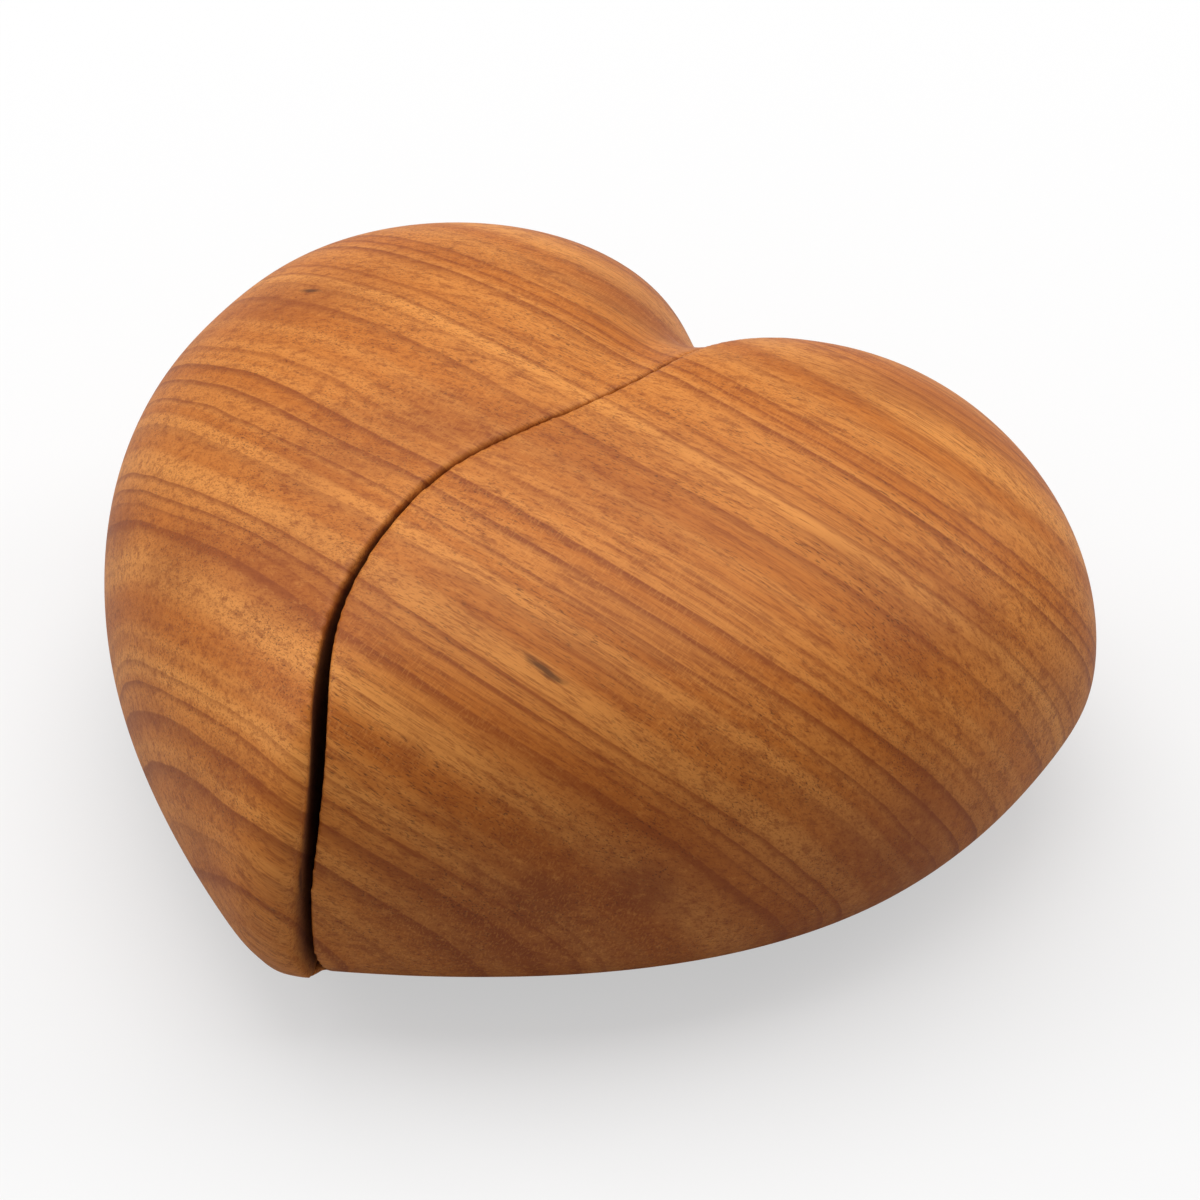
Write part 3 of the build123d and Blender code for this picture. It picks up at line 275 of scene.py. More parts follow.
@dataclass(frozen=True)
class GumMark:
    """A short dark gum streak in the wood.

    Attributes:
        place: Its middle, in millimetres.
        length: Its length along the grain, in millimetres.
        width: Its width across the grain, in millimetres.
    """

    place: tuple[float, float, float]
    length: float
    width: float


@dataclass(frozen=True)
class HeartwoodShadePatch:
    """A broad darker patch of the wood: heartwood, and painted shade where it lies on the lower front
    and flanks.

    Attributes:
        place: Its middle, in millimetres.
        reach: How far it fades out, in millimetres.
        depth: How much darker its middle is, from 0 to 1.
    """

    place: tuple[float, float, float]
    reach: float
    depth: float


@dataclass(frozen=True)
class CherryFinish:
    """Oiled, hand-sanded cherry with its growth rings, pores, ray flecks and gum streaks.

    The rings run round a pith that lies in front of the heart's tip, nearly along X.

    Attributes:
        name: The material's name.
        pith: A point of the pith, in metres.
        fibre_turn: The fibres' angle from X, seen from above.
        fibre_rise: Their angle from level.
        ring_width: Mean width of a year's ring, in metres.
        slow_wander: How the rings wander along the trunk.
        quick_wander: How they waver within a few millimetres.
        slow_depth: How far the slow wander moves a ring, in metres.
        quick_depth: How far the quick one does, in metres.
        patches: Broad redder patches.
        streaks: Darker and lighter streaks between the rings.
        fibres: The fibres themselves.
        pores: Open pores, short dashes along the fibres.
        crowding: Where the pores stand close.
        fleck_size: Waves to a metre of the ray flecks, along the fibres first.
        fleck_areas: Where the flecks show.
        golden: Colour of the palest wood.
        honey: Colour of most of the wood.
        russet: Colour of late wood and heartwood, and of the painted shade on the lower front and
            flanks.
        umber: Colour of pores and gum.
        sawn_and_shade: Colour of a saw-cut face: its end grain, and painted shade of the seam and the
            hollows where those faces lie.
        marks: The gum streaks.
        heartwood_shade_patches: Darker patches of heartwood, and painted shade on the lower front and
            flanks.
    """

    name: str = "oiled_cherry"
    pith: tuple[float, float, float] = (0.0, -121.7 * MM, -11.0 * MM)
    fibre_turn: float = radians(4.1)
    fibre_rise: float = radians(-17.1)
    ring_width: float = 3.6 * MM
    slow_wander: Grain = Grain(5.0, 16.0)
    quick_wander: Grain = Grain(22.0, 90.0)
    slow_depth: float = 9.0 * MM
    quick_depth: float = 1.3 * MM
    patches: Grain = Grain(12.0, 42.0, 3.0, 0.55)
    streaks: Grain = Grain(20.0, 760.0, 4.0, 0.75)
    fibres: Grain = Grain(120.0, 2600.0, 3.0, 0.75)
    pores: Grain = Grain(700.0, 4600.0, 1.0)
    crowding: Grain = Grain(18.0, 120.0)
    fleck_size: tuple[float, float, float] = (3800.0, 800.0, 1500.0)
    fleck_areas: Grain = Grain(20.0, 24.0, 1.0)
    golden: Colour = rgb(0.67, 0.262, 0.056)
    honey: Colour = rgb(0.48, 0.142, 0.019)
    russet: Colour = rgb(0.225, 0.045, 0.006)
    umber: Colour = rgb(0.065, 0.019, 0.006)
    # Saw-cut faces: end grain, and painted shade of the seam and the hollows.
    sawn_and_shade: Colour = rgb(0.11, 0.036, 0.022)
    marks: tuple[GumMark, ...] = (
        GumMark((24.6, -42.4, 57.4), 9.0, 1.6),
        GumMark((-50.5, 7.1, 57.3), 5.0, 1.3),
        GumMark((5.0, -74.8, 32.5), 4.0, 1.2),
    )
    # Heartwood, and painted shade: the broad low patches darken the front and the flanks that turn
    # away from the light.
    heartwood_shade_patches: tuple[HeartwoodShadePatch, ...] = (
        HeartwoodShadePatch((34.0, -50.0, 26.0), 50.0, 0.6),
        HeartwoodShadePatch((60.0, -26.0, 14.0), 46.0, 0.55),
        HeartwoodShadePatch((-58.0, -30.0, 10.0), 32.0, 0.3),
        HeartwoodShadePatch((14.2, -60.4, 50.1), 5.0, 0.5),
        HeartwoodShadePatch((34.0, -58.0, 30.5), 12.0, 0.85),
        HeartwoodShadePatch((44.8, -49.1, 30.9), 12.0, 0.85),
    )

    def log_space(self, tree: ShaderTree) -> bpy.types.NodeSocket:
        """Positions measured from the pith, with X along the fibres.

        Args:
            tree: The material being built.

        Returns:
            The position's socket.
        """
        turn = Matrix.Rotation(self.fibre_rise, 3, "Y") @ Matrix.Rotation(-self.fibre_turn, 3, "Z")
        mapping = tree.add("Mapping", vector_type="POINT")
        mapping.inputs["Location"].default_value = -(turn @ Vector(self.pith))
        mapping.inputs["Rotation"].default_value = turn.to_euler("XYZ")
        tree.join(tree.add("TexCoord").outputs["Object"], mapping.inputs["Vector"])
        return mapping.outputs["Vector"]

    def grain(self, tree: ShaderTree, place: object, grain: Grain) -> bpy.types.NodeSocket:
        """Noise drawn out along the fibres.

        Args:
            tree: The material being built.
            place: Socket of the position from the pith.
            grain: Its scales.

        Returns:
            The noise's value socket.
        """
        stretch = (grain.along, grain.across, grain.across)
        drawn = tree.vector("MULTIPLY", place, stretch).outputs["Vector"]
        return tree.noise(drawn, 1.0, grain.detail, grain.roughness)

    def gum(self, tree: ShaderTree) -> bpy.types.NodeSocket:
        """Dark gum streaks at their own places.

        Args:
            tree: The material being built.

        Returns:
            Socket that is 1 inside a streak.
        """
        position = tree.add("TexCoord").outputs["Object"]
        ragged = self.grain(tree, position, Grain(200.0, 1400.0, 3.0))
        total: object = 0.0
        for mark in self.marks:
            away = tree.vector("SUBTRACT", position, tuple(v * MM for v in mark.place))
            size = (2 / (mark.length * MM), 2 / (mark.width * MM), 0.35 / (mark.width * MM))
            scaled = tree.vector("MULTIPLY", away.outputs["Vector"], size)
            reach = tree.vector("LENGTH", scaled.outputs["Vector"]).outputs["Value"]
            inside = tree.between(tree.math("ADD", reach, ragged), 1.6, 0.7)
            total = tree.math("ADD", total, inside, clamp=True)
        return total

    def heartwood_and_painted_shade(self, tree: ShaderTree) -> bpy.types.NodeSocket:
        """Broad darker patches with soft, uneven borders: heartwood, and painted shade on the lower
        front and flanks.

        Args:
            tree: The material being built.

        Returns:
            Socket of how dark the heartwood and the painted shade make the wood, from 0 to 1.
        """
        position = tree.add("TexCoord").outputs["Object"]
        border = tree.scaled(tree.noise(position, 45.0, 3.0), 0.7)
        total: object = 0.0
        for shade_patch in self.heartwood_shade_patches:
            away = tree.vector("SUBTRACT", position, tuple(v * MM for v in shade_patch.place))
            reach = tree.vector("LENGTH", away.outputs["Vector"]).outputs["Value"]
            share = tree.math("ADD", tree.math("DIVIDE", reach, shade_patch.reach * MM), border)
            dark = tree.scaled(tree.between(share, 1.35, 0.45), shade_patch.depth)
            total = tree.math("MAXIMUM", total, dark)
        return total

    def ring_radius(self, tree: ShaderTree, place: object) -> bpy.types.NodeSocket:
        """Distance from the pith, wandering as real rings do.

        Args:
            tree: The material being built.
            place: Socket of the position from the pith.

        Returns:
            The distance's socket, in metres.
        """
        parts = tree.add("SeparateXYZ")
        tree.join(place, parts.inputs[0])
        across = tree.add("CombineXYZ")
        tree.join(parts.outputs["Y"], across.inputs["Y"])
        tree.join(parts.outputs["Z"], across.inputs["Z"])
        radius = tree.vector("LENGTH", across.outputs[0]).outputs["Value"]
        slow = tree.scaled(self.grain(tree, place, self.slow_wander), self.slow_depth)
        quick = tree.scaled(self.grain(tree, place, self.quick_wander), self.quick_depth)
        return tree.math("ADD", tree.math("ADD", radius, slow), quick)

    def late_wood(self, tree: ShaderTree, radius: object) -> bpy.types.NodeSocket:
        """Dark lines where each ring ends, some years stronger than others.

        Args:
            tree: The material being built.
            radius: Socket of the distance from the pith.

        Returns:
            Socket of how dark the late wood is, from 0 to 1.
        """
        drift = tree.scaled(tree.noise_along(radius, 70.0, 1.0), 3.5)
        rings = tree.math("DIVIDE", radius, self.ring_width)
        phase = tree.math("FRACT", tree.math("ADD", rings, drift))
        line = tree.math("MULTIPLY", tree.between(phase, 0.55, 0.94), tree.between(phase, 1.0, 0.95))
        year = tree.between(tree.noise_along(radius, 60.0), 0.32, 0.62)
        return tree.math("MULTIPLY", line, year)

    def open_pores(self, tree: ShaderTree, place: object) -> bpy.types.NodeSocket:
        """Short dark dashes along the fibres, crowded in places.

        Args:
            tree: The material being built.
            place: Socket of the position from the pith.

        Returns:
            Socket that is 1 in a pore.
        """
        dashes = tree.between(self.grain(tree, place, self.pores), 0.58, 0.70)
        crowded = tree.between(self.grain(tree, place, self.crowding), 0.3, 0.65)
        return tree.math("MULTIPLY", dashes, crowded)

    def ray_flecks(self, tree: ShaderTree, place: object) -> bpy.types.NodeSocket:
        """Fine pale lines square to the rings.

        Args:
            tree: The material being built.
            place: Socket of the position from the pith.

        Returns:
            Socket that is 1 in a fleck.
        """
        drawn = tree.vector("MULTIPLY", place, self.fleck_size).outputs["Vector"]
        fine = tree.between(tree.noise(drawn, 1.0, 1.0), 0.52, 0.68)
        shown = tree.between(self.grain(tree, place, self.fleck_areas), 0.42, 0.62)
        return tree.math("MULTIPLY", fine, shown)

    def build(self) -> bpy.types.Material:
        """Build the material.

        Returns:
            The cherry material.
        """
        tree = ShaderTree(self.name)
        place = self.log_space(tree)
        radius = self.ring_radius(tree, place)
        patches = self.grain(tree, place, self.patches)
        streaks = self.grain(tree, place, self.streaks)
        fibres = self.grain(tree, place, self.fibres)
        pore = self.open_pores(tree, place)
        # Faces left by the saw are painted much darker. This is partly end grain that took more oil
        # than the sanded faces, and partly painted shade of the seam and the hollows where they lie.
        saw_cut_and_shade = tree.add("Attribute", attribute_name="sawn_and_shade").outputs["Fac"]
        bands = tree.noise_along(radius, 150.0, 4.0)
        tint = tree.blend(tree.between(bands, 0.22, 0.7), self.golden, self.honey)
        layers = (
            (tree.scaled(tree.between(patches, 0.48, 0.76), 0.5), self.russet),
            # Heartwood, and painted shade on the lower front and flanks.
            (self.heartwood_and_painted_shade(tree), self.russet),
            (tree.scaled(self.late_wood(tree, radius), 0.75), self.russet),
            (tree.scaled(tree.between(streaks, 0.48, 0.66), 0.55), self.russet),
            (tree.scaled(tree.between(streaks, 0.45, 0.3), 0.3), self.golden),
            (tree.scaled(tree.between(fibres, 0.49, 0.66), 0.55), self.russet),
            (tree.scaled(pore, 0.62), self.umber),
            (tree.scaled(self.ray_flecks(tree, place), 0.24), self.golden),
            (tree.scaled(self.gum(tree), 0.82), self.umber),
            # Saw-cut faces darkened as end grain, and as painted shade in the seam and the hollows.
            (tree.scaled(saw_cut_and_shade, 0.72), self.sawn_and_shade),
        )
        for share, colour in layers:
            tint = tree.blend(share, tint, colour)
        tree.join(tint, tree.shader.inputs["Base Color"])
        gloss = tree.math("ADD", 0.4, tree.scaled(fibres, 0.2))
        gloss = tree.math("ADD", gloss, tree.scaled(saw_cut_and_shade, 0.25), clamp=True)
        tree.join(gloss, tree.shader.inputs["Roughness"])
        height = tree.math("SUBTRACT", tree.scaled(fibres, 0.35), tree.scaled(pore, 0.6))
        tree.relief(height, 0.06 * MM, 0.5)
        tree.set(Coat_Weight=0.03, Coat_Roughness=0.35, Specular_IOR_Level=0.2, IOR=1.46)
        return tree.material


@dataclass(frozen=True)
class FeltFinish:
    """Pressed wool felt, slightly mottled, with a soft sheen.

    Attributes:
        name: The material's name.
        dark: Colour between the fibres.
        light: Colour of the fibres.
        mottle_scale: Waves to a metre of the mottling.
        wool_scale: Waves to a metre of the wool.
    """

    name: str = "wool_felt"
    dark: Colour = rgb(0.060, 0.010, 0.014)
    light: Colour = rgb(0.170, 0.030, 0.036)
    mottle_scale: float = 260.0
    wool_scale: float = 2600.0

    def build(self) -> bpy.types.Material:
        """Build the material.

        Returns:
            The felt material.
        """
        tree = ShaderTree(self.name)
        place = tree.add("TexCoord").outputs["Object"]
        mottle = tree.noise(place, self.mottle_scale, 3.0, 0.6)
        wool = tree.noise(place, self.wool_scale, 3.0, 0.7)
        share = tree.math("ADD", tree.scaled(mottle, 0.5), tree.scaled(wool, 0.5))
        tint = tree.blend(tree.between(share, 0.35, 0.68), self.dark, self.light)
        tree.join(tint, tree.shader.inputs["Base Color"])
        tree.relief(wool, 0.25 * MM)
        tree.set(Roughness=0.95, Sheen_Weight=0.35, Sheen_Roughness=0.5)
        return tree.material


class Tooling(Enum):
    """Marks that making leaves on a metal part: how its fine lines are stretched, in waves a metre."""

    BRUSHED_ALONG_Y = (5200.0, 160.0, 5200.0)
    TURNED_ABOUT_Y = (900.0, 6500.0, 900.0)
    TURNED_ABOUT_Z = (900.0, 900.0, 6500.0)
    CAST = (1400.0, 1400.0, 1400.0)
    TUMBLED = (2600.0, 2600.0, 2600.0)


@dataclass(frozen=True)
class MetalFinish:
    """A metal with tooling marks and slight tarnish.

    Attributes:
        name: The material's name.
        bright: Colour of the clean metal.
        dull: Colour where it has tarnished.
        gloss: Lowest roughness.
        tooling: Marks that the surface keeps.
        marks: Depth of those marks, in metres.
        haze_scale: Waves to a metre of the tarnish.
    """

    name: str
    bright: Colour
    dull: Colour
    gloss: float
    tooling: Tooling
    marks: float = 0.012 * MM
    haze_scale: float = 420.0

    def build(self) -> bpy.types.Material:
        """Build the material.

        Returns:
            The metal's material.
        """
        tree = ShaderTree(self.name)
        place = tree.add("TexCoord").outputs["Object"]
        drawn = tree.vector("MULTIPLY", place, self.tooling.value).outputs["Vector"]
        lines = tree.noise(drawn, 1.0, 2.0, 0.6)
        haze = tree.noise(place, self.haze_scale, 3.0, 0.6)
        share = tree.math("ADD", tree.scaled(haze, 0.7), tree.scaled(lines, 0.3))
        tint = tree.blend(tree.between(share, 0.42, 0.66), self.bright, self.dull)
        tree.join(tint, tree.shader.inputs["Base Color"])
        roughness = tree.math("ADD", self.gloss, tree.scaled(share, 0.22))
        tree.join(roughness, tree.shader.inputs["Roughness"])
        tree.relief(lines, self.marks, 0.6)
        tree.set(Metallic=1.0)
        return tree.material


@dataclass(frozen=True)
class NylonFinish:
    """Moulded natural nylon, a little waxy.

    Attributes:
        name: The material's name.
        pale: Colour of fresh nylon.
        aged: Colour where it has yellowed.
        cloud_scale: Waves to a metre of the yellowing.
        skin_scale: Waves to a metre of the mould's texture.
    """

    name: str = "moulded_nylon"
    pale: Colour = rgb(0.78, 0.76, 0.68)
    aged: Colour = rgb(0.66, 0.62, 0.50)
    cloud_scale: float = 600.0
    skin_scale: float = 5200.0

    def build(self) -> bpy.types.Material:
        """Build the material.

        Returns:
            The nylon material.
        """
        tree = ShaderTree(self.name)
        place = tree.add("TexCoord").outputs["Object"]
        cloud = tree.noise(place, self.cloud_scale, 3.0)
        tint = tree.blend(tree.between(cloud, 0.4, 0.7), self.pale, self.aged)
        tree.join(tint, tree.shader.inputs["Base Color"])
        tree.join(tree.math("ADD", 0.35, tree.scaled(cloud, 0.2)), tree.shader.inputs["Roughness"])
        tree.relief(tree.noise(place, self.skin_scale), 0.01 * MM, 0.5)
        tree.set(Subsurface_Weight=0.15, Subsurface_Scale=0.4 * MM)
        return tree.material


@dataclass
class Relaxer:
    """Evens out a fine mesh on its smooth faces, and rounds its edges as sanding does.

    Attributes:
        mesh: The mesh to work on.
        edge_passes: Rounds of smoothing over the whole mesh, which ease the edges.
        face_passes: Rounds that leave the edges alone.
        fold: Least angle between neighbouring normals at an edge, in radians.
        spread: Rings of vertices round an edge that are left alone.
        soften: Rounds that soften the border between what moves and what doesn't.
        edge_step: How far a vertex moves to its neighbours' middle in one of the edge passes.
        face_step: The same in one of the face passes.
        points: Where the vertices are.
        first: First vertex of each edge.
        second: Second vertex of each edge.
        degree: How many edges each vertex has.
    """

    mesh: bpy.types.Mesh
    edge_passes: int = 3
    face_passes: int = 70
    fold: float = radians(9)
    spread: int = 4
    soften: int = 2
    edge_step: float = 0.6
    face_step: float = 0.5
    points: np.ndarray = field(init=False)
    first: np.ndarray = field(init=False)
    second: np.ndarray = field(init=False)
    degree: np.ndarray = field(init=False)

    def __post_init__(self) -> None:
        """Read the mesh's points and edges."""
        count = len(self.mesh.vertices)
        self.points = np.empty(count * 3)
        self.mesh.vertices.foreach_get("co", self.points)
        self.points = self.points.reshape(count, 3)
        ends = np.empty(len(self.mesh.edges) * 2, dtype=np.int64)
        self.mesh.edges.foreach_get("vertices", ends)
        self.first, self.second = ends.reshape(-1, 2).T
        self.degree = np.bincount(ends, minlength=count)

    def around(self, values: np.ndarray) -> np.ndarray:
        """Mean of each vertex's neighbours.

        Args:
            values: One row a vertex.

        Returns:
            The means, in the same shape.
        """
        total = np.empty_like(values)
        count = len(self.degree)
        for column in range(values.shape[1]):
            line = values[:, column]
            total[:, column] = np.bincount(self.first, line[self.second], count)
            total[:, column] += np.bincount(self.second, line[self.first], count)
        return total / self.degree[:, None]

    def store(self) -> None:
        """Write the points back to the mesh."""
        self.mesh.vertices.foreach_set("co", self.points.ravel())
        self.mesh.update()

    def folded(self) -> np.ndarray:
        """Find the vertices at an edge of the piece.

        Returns:
            One truth value a vertex.
        """
        normals = np.empty(len(self.points) * 3)
        self.mesh.vertex_normals.foreach_get("vector", normals)
        normals = normals.reshape(-1, 3)
        bend = (normals[self.first] * normals[self.second]).sum(axis=1) < cos(self.fold)
        found = np.zeros(len(self.points), dtype=bool)
        found[self.first[bend]] = True
        found[self.second[bend]] = True
        return found

    def carved_side(self, folded: np.ndarray) -> np.ndarray:
        """Find the carved face: all that hangs together with the outermost point, up to the edges.

        Args:
            folded: Which vertices lie at an edge.

        Returns:
            One truth value a vertex.
        """
        reached = np.zeros(len(self.points), dtype=bool)
        start = int(np.abs(self.points[:, 0]).argmax())
        reached[start] = True
        open_edge = ~(folded[self.first] & folded[self.second])
        first, second = self.first[open_edge], self.second[open_edge]
        grown = True
        while grown:
            spread = reached.copy()
            clear = reached & ~folded
            spread[second[clear[first]]] = True
            spread[first[clear[second]]] = True
            grown = spread.sum() > reached.sum()
            reached = spread
        return reached

    def run(self) -> None:
        """Smooth the mesh and mark its saw-cut faces, which the cherry finish darkens with painted
        shade, in a point attribute.
        """
        for _ in range(self.edge_passes):
            self.points += self.edge_step * (self.around(self.points) - self.points)
        self.store()
        folded = self.folded()
        near = folded.astype(float)[:, None]
        for _ in range(self.spread):
            near = np.maximum(near, self.around(near) > 0)
        free = 1.0 - near
        for _ in range(self.soften):
            free = self.around(free)
        for _ in range(self.face_passes):
            self.points += self.face_step * free * (self.around(self.points) - self.points)
        self.store()
        # The eased edges are sanded too.
        sanded = self.carved_side(folded) | folded
        # The cherry finish gives these saw-cut faces painted shade, as well as their darker end grain.
        sawn_and_shade = np.where(sanded, Cut.CARVED.value, Cut.SAWN.value)[:, None]
        for _ in range(self.soften):
            sawn_and_shade = self.around(sawn_and_shade)
        marks = self.mesh.attributes.new("sawn_and_shade", "FLOAT", "POINT")
        marks.data.foreach_set("value", sawn_and_shade.ravel())


@dataclass
class CarvedWood:
    """The heart's three wooden pieces: the base, the glued half and the swinging half.

    Attributes:
        finish: The cherry finish.
        voxel: Size of a worn piece's fine mesh, in metres.
        grid_depth: How often a crisp piece's grid is halved.
        merge: How near two points of a node's mesh are when they are one, in metres.
    """

    finish: CherryFinish
    voxel: float = 0.66 * MM
    grid_depth: int = 8
    merge: float = 0.001 * MM

    def fine_copy(self, node: str, name: str, arris: Arris, grid_share: float) -> bpy.types.Object:
        """Remake one wooden node as a fine, even, closed mesh.

        Args:
            node: Name of the node.
            name: Name of the new piece.
            arris: How its edges are meshed.
            grid_share: Share of the grid that a crisp piece fills.

        Returns:
            The new piece.
        """
        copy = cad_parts[node].data.copy()
        work = bmesh.new()
        work.from_mesh(copy)
        bmesh.ops.remove_doubles(work, verts=work.verts, dist=self.merge)
        work.to_mesh(copy)
        work.free()
        copy.materials.clear()
        rough = bpy.data.objects.new(name + "_rough", copy)
        bpy.context.scene.collection.objects.link(rough)
        remesh = rough.modifiers.new("even", "REMESH")
        remesh.mode = arris.value
        remesh.voxel_size = self.voxel
        remesh.octree_depth = self.grid_depth
        remesh.scale = grid_share
        remesh.sharpness = 1.0
        remesh.use_smooth_shade = True
        view = bpy.context.evaluated_depsgraph_get()
        mesh = bpy.data.meshes.new_from_object(rough.evaluated_get(view))
        bpy.data.objects.remove(rough)
        mesh.name = name
        piece = bpy.data.objects.new(name, mesh)
        bpy.context.scene.collection.objects.link(piece)
        return piece

    def build(self) -> None:
        """Make and dress the three pieces."""
        material = self.finish.build()
        for node, body, arris, grid_share in (
            ("base", "heart", Arris.WORN, 1.0),
            ("fixed_half", "heart", Arris.CRISP, 0.752),
            ("swing_half", "lid", Arris.CRISP, 0.82),
        ):
            piece = self.fine_copy(node, "cherry_" + node, arris, grid_share)
            Relaxer(piece.data).run()
            piece.data.shade_smooth()
            piece.data.materials.clear()
            piece.data.materials.append(material)
            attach(piece, body)
            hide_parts(node)
            log.info("carved %s with %d faces", piece.name, len(piece.data.polygons))


@dataclass
class TrayLining:
    """The felt laid in the keepsake tray, with its loose surface fibres.

    Attributes:
        finish: The felt finish.
        rings: Rings of faces from the middle to the rim.
        spokes: Faces round the rim.
        edge: How far the cut edge is rounded, in metres.
        fibres: How many loose fibres stand up.
        fibre_length: Their mean length, in metres.
        fibre_radius: Their radius, in metres.
        fibre_bend: How far each one curls, in radians.
        fibre_lean: How far it may lean from upright, in radians.
        unevenness: Depth of the pressed surface's waves, in metres.
    """

    finish: FeltFinish
    rings: int = 44
    spokes: int = 160
    edge: float = 0.35 * MM
    fibres: int = 3200
    fibre_length: float = 0.9 * MM
    fibre_radius: float = 0.018 * MM
    fibre_bend: float = radians(130)
    fibre_lean: float = radians(22)
    unevenness: float = 0.035 * MM

    def __post_init__(self) -> None:
        """Take the size from the node that it stands for."""
        low, high = (Vector(corner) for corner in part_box("tray_liner"))
        self.middle = (low + high) / 2
        self.half = (high - low) / 2

    def area(self) -> float:
        """The oval's flat area, in square metres."""
        return float(np.pi * self.half.x * self.half.y)

    def height_at(self, x: float, y: float) -> float:
        """Small unevenness of the pressed surface, in metres."""
        broad = sin(310 * x + 1.3) * cos(270 * y) + 0.6 * sin(720 * y + 2.0 * sin(400 * x))
        return -self.unevenness * (1.6 + broad)

    def sheet(self) -> bpy.types.Object:
        """Build the felt itself, as a closed oval slab with a rounded cut edge.

        Returns:
            The felt piece.
        """
        work = bmesh.new()
        shares = [(ring + 1) / self.rings for ring in range(self.rings)]
        layers = []
        inset = 1 - self.edge / self.half.x
        for side in (1, -1):
            centre = work.verts.new(self.middle + Vector((0, 0, side * self.half.z)))
            loops = []
            for share in shares:
                loop = []
                for spoke in range(self.spokes):
                    turn = 2 * np.pi * spoke / self.spokes
                    x = self.half.x * share * inset * cos(turn)
                    y = self.half.y * share * inset * sin(turn)
                    z = side * self.half.z
                    if side > 0:
                        z += self.height_at(x, y)
                    loop.append(work.verts.new(self.middle + Vector((x, y, z))))
                loops.append(loop)
            layers.append((centre, loops))
        rim = []
        for level in (0.55, -0.55):
            loop = []
            for spoke in range(self.spokes):
                turn = 2 * np.pi * spoke / self.spokes
                out = Vector((self.half.x * cos(turn), self.half.y * sin(turn), level * self.half.z))
                loop.append(work.verts.new(self.middle + out))
            rim.append(loop)
        for centre, loops in layers:
            for spoke in range(self.spokes):
                after = (spoke + 1) % self.spokes
                work.faces.new((centre, loops[0][spoke], loops[0][after]))
        chain = layers[0][1] + rim + layers[1][1][::-1]
        for inner, outer in zip(chain, chain[1:]):
            for spoke in range(self.spokes):
                after = (spoke + 1) % self.spokes
                work.faces.new((inner[spoke], outer[spoke], outer[after], inner[after]))
        bmesh.ops.recalc_face_normals(work, faces=work.faces)
        mesh = bpy.data.meshes.new("felt_lining")
        work.to_mesh(mesh)
        work.free()
        mesh.shade_smooth()
        piece = bpy.data.objects.new("felt_lining", mesh)
        bpy.context.scene.collection.objects.link(piece)
        return piece

    def fibre_tree(self, material: bpy.types.Material) -> bpy.types.GeometryNodeTree:
        """Geometry Nodes that scatter short bent fibres over the felt's upper face.

        Args:
            material: What the fibres are made of.

        Returns:
            The node tree, with inputs Density, Length and Radius.
        """
        tree = bpy.data.node_groups.new("loose_fibres", "GeometryNodeTree")
        tree.interface.new_socket("Geometry", in_out="INPUT", socket_type="NodeSocketGeometry")
        for name in ("Density", "Length", "Radius"):
            tree.interface.new_socket(name, in_out="INPUT", socket_type="NodeSocketFloat")
        tree.interface.new_socket("Geometry", in_out="OUTPUT", socket_type="NodeSocketGeometry")

        def add(kind: str, **settings: object) -> bpy.types.Node:
            """Add one node and set its properties."""
            node = tree.nodes.new(kind)
            for name, value in settings.items():
                setattr(node, name, value)
            return node

        join = tree.links.new
        source = add("NodeGroupInput")
        normal = add("GeometryNodeInputNormal")
        upward = add("ShaderNodeSeparateXYZ")
        join(normal.outputs[0], upward.inputs[0])
        facing = add("FunctionNodeCompare", data_type="FLOAT", operation="GREATER_THAN")
        join(upward.outputs["Z"], facing.inputs[0])
        facing.inputs[1].default_value = 0.8
        scatter = add("GeometryNodeDistributePointsOnFaces", distribute_method="RANDOM")
        scatter.inputs["Seed"].default_value = 7
        join(source.outputs["Geometry"], scatter.inputs["Mesh"])
        join(facing.outputs[0], scatter.inputs["Selection"])
        join(source.outputs["Density"], scatter.inputs["Density"])
        arc = add("GeometryNodeCurveArc", mode="RADIUS")
        arc.inputs["Resolution"].default_value = 4
        arc.inputs["Sweep Angle"].default_value = self.fibre_bend
        join(source.outputs["Length"], arc.inputs["Radius"])
        profile = add("GeometryNodeCurvePrimitiveCircle", mode="RADIUS")
        profile.inputs["Resolution"].default_value = 3
        join(source.outputs["Radius"], profile.inputs["Radius"])
        strand = add("GeometryNodeCurveToMesh")
        strand.inputs["Fill Caps"].default_value = True
        join(arc.outputs["Curve"], strand.inputs["Curve"])
        join(profile.outputs["Curve"], strand.inputs["Profile Curve"])
        lean = add("FunctionNodeRandomValue", data_type="FLOAT_VECTOR")
        lean.inputs["Min"].default_value = (-self.fibre_lean, -self.fibre_lean, 0.0)
        lean.inputs["Max"].default_value = (self.fibre_lean, self.fibre_lean, radians(360))
        lean.inputs["Seed"].default_value = 11
        size = add("FunctionNodeRandomValue", data_type="FLOAT")
        size.inputs[2].default_value = 0.5
        size.inputs[3].default_value = 1.2
        size.inputs["Seed"].default_value = 5
        place = add("GeometryNodeInstanceOnPoints")
        join(scatter.outputs["Points"], place.inputs["Points"])
        join(strand.outputs["Mesh"], place.inputs["Instance"])
        join(lean.outputs[0], place.inputs["Rotation"])
        join(size.outputs[1], place.inputs["Scale"])
        real = add("GeometryNodeRealizeInstances")
        join(place.outputs[0], real.inputs[0])
        dressed = add("GeometryNodeSetMaterial")
        dressed.inputs["Material"].default_value = material
        join(real.outputs[0], dressed.inputs["Geometry"])
        join(dressed.outputs[0], add("NodeGroupOutput").inputs[0])
        return tree

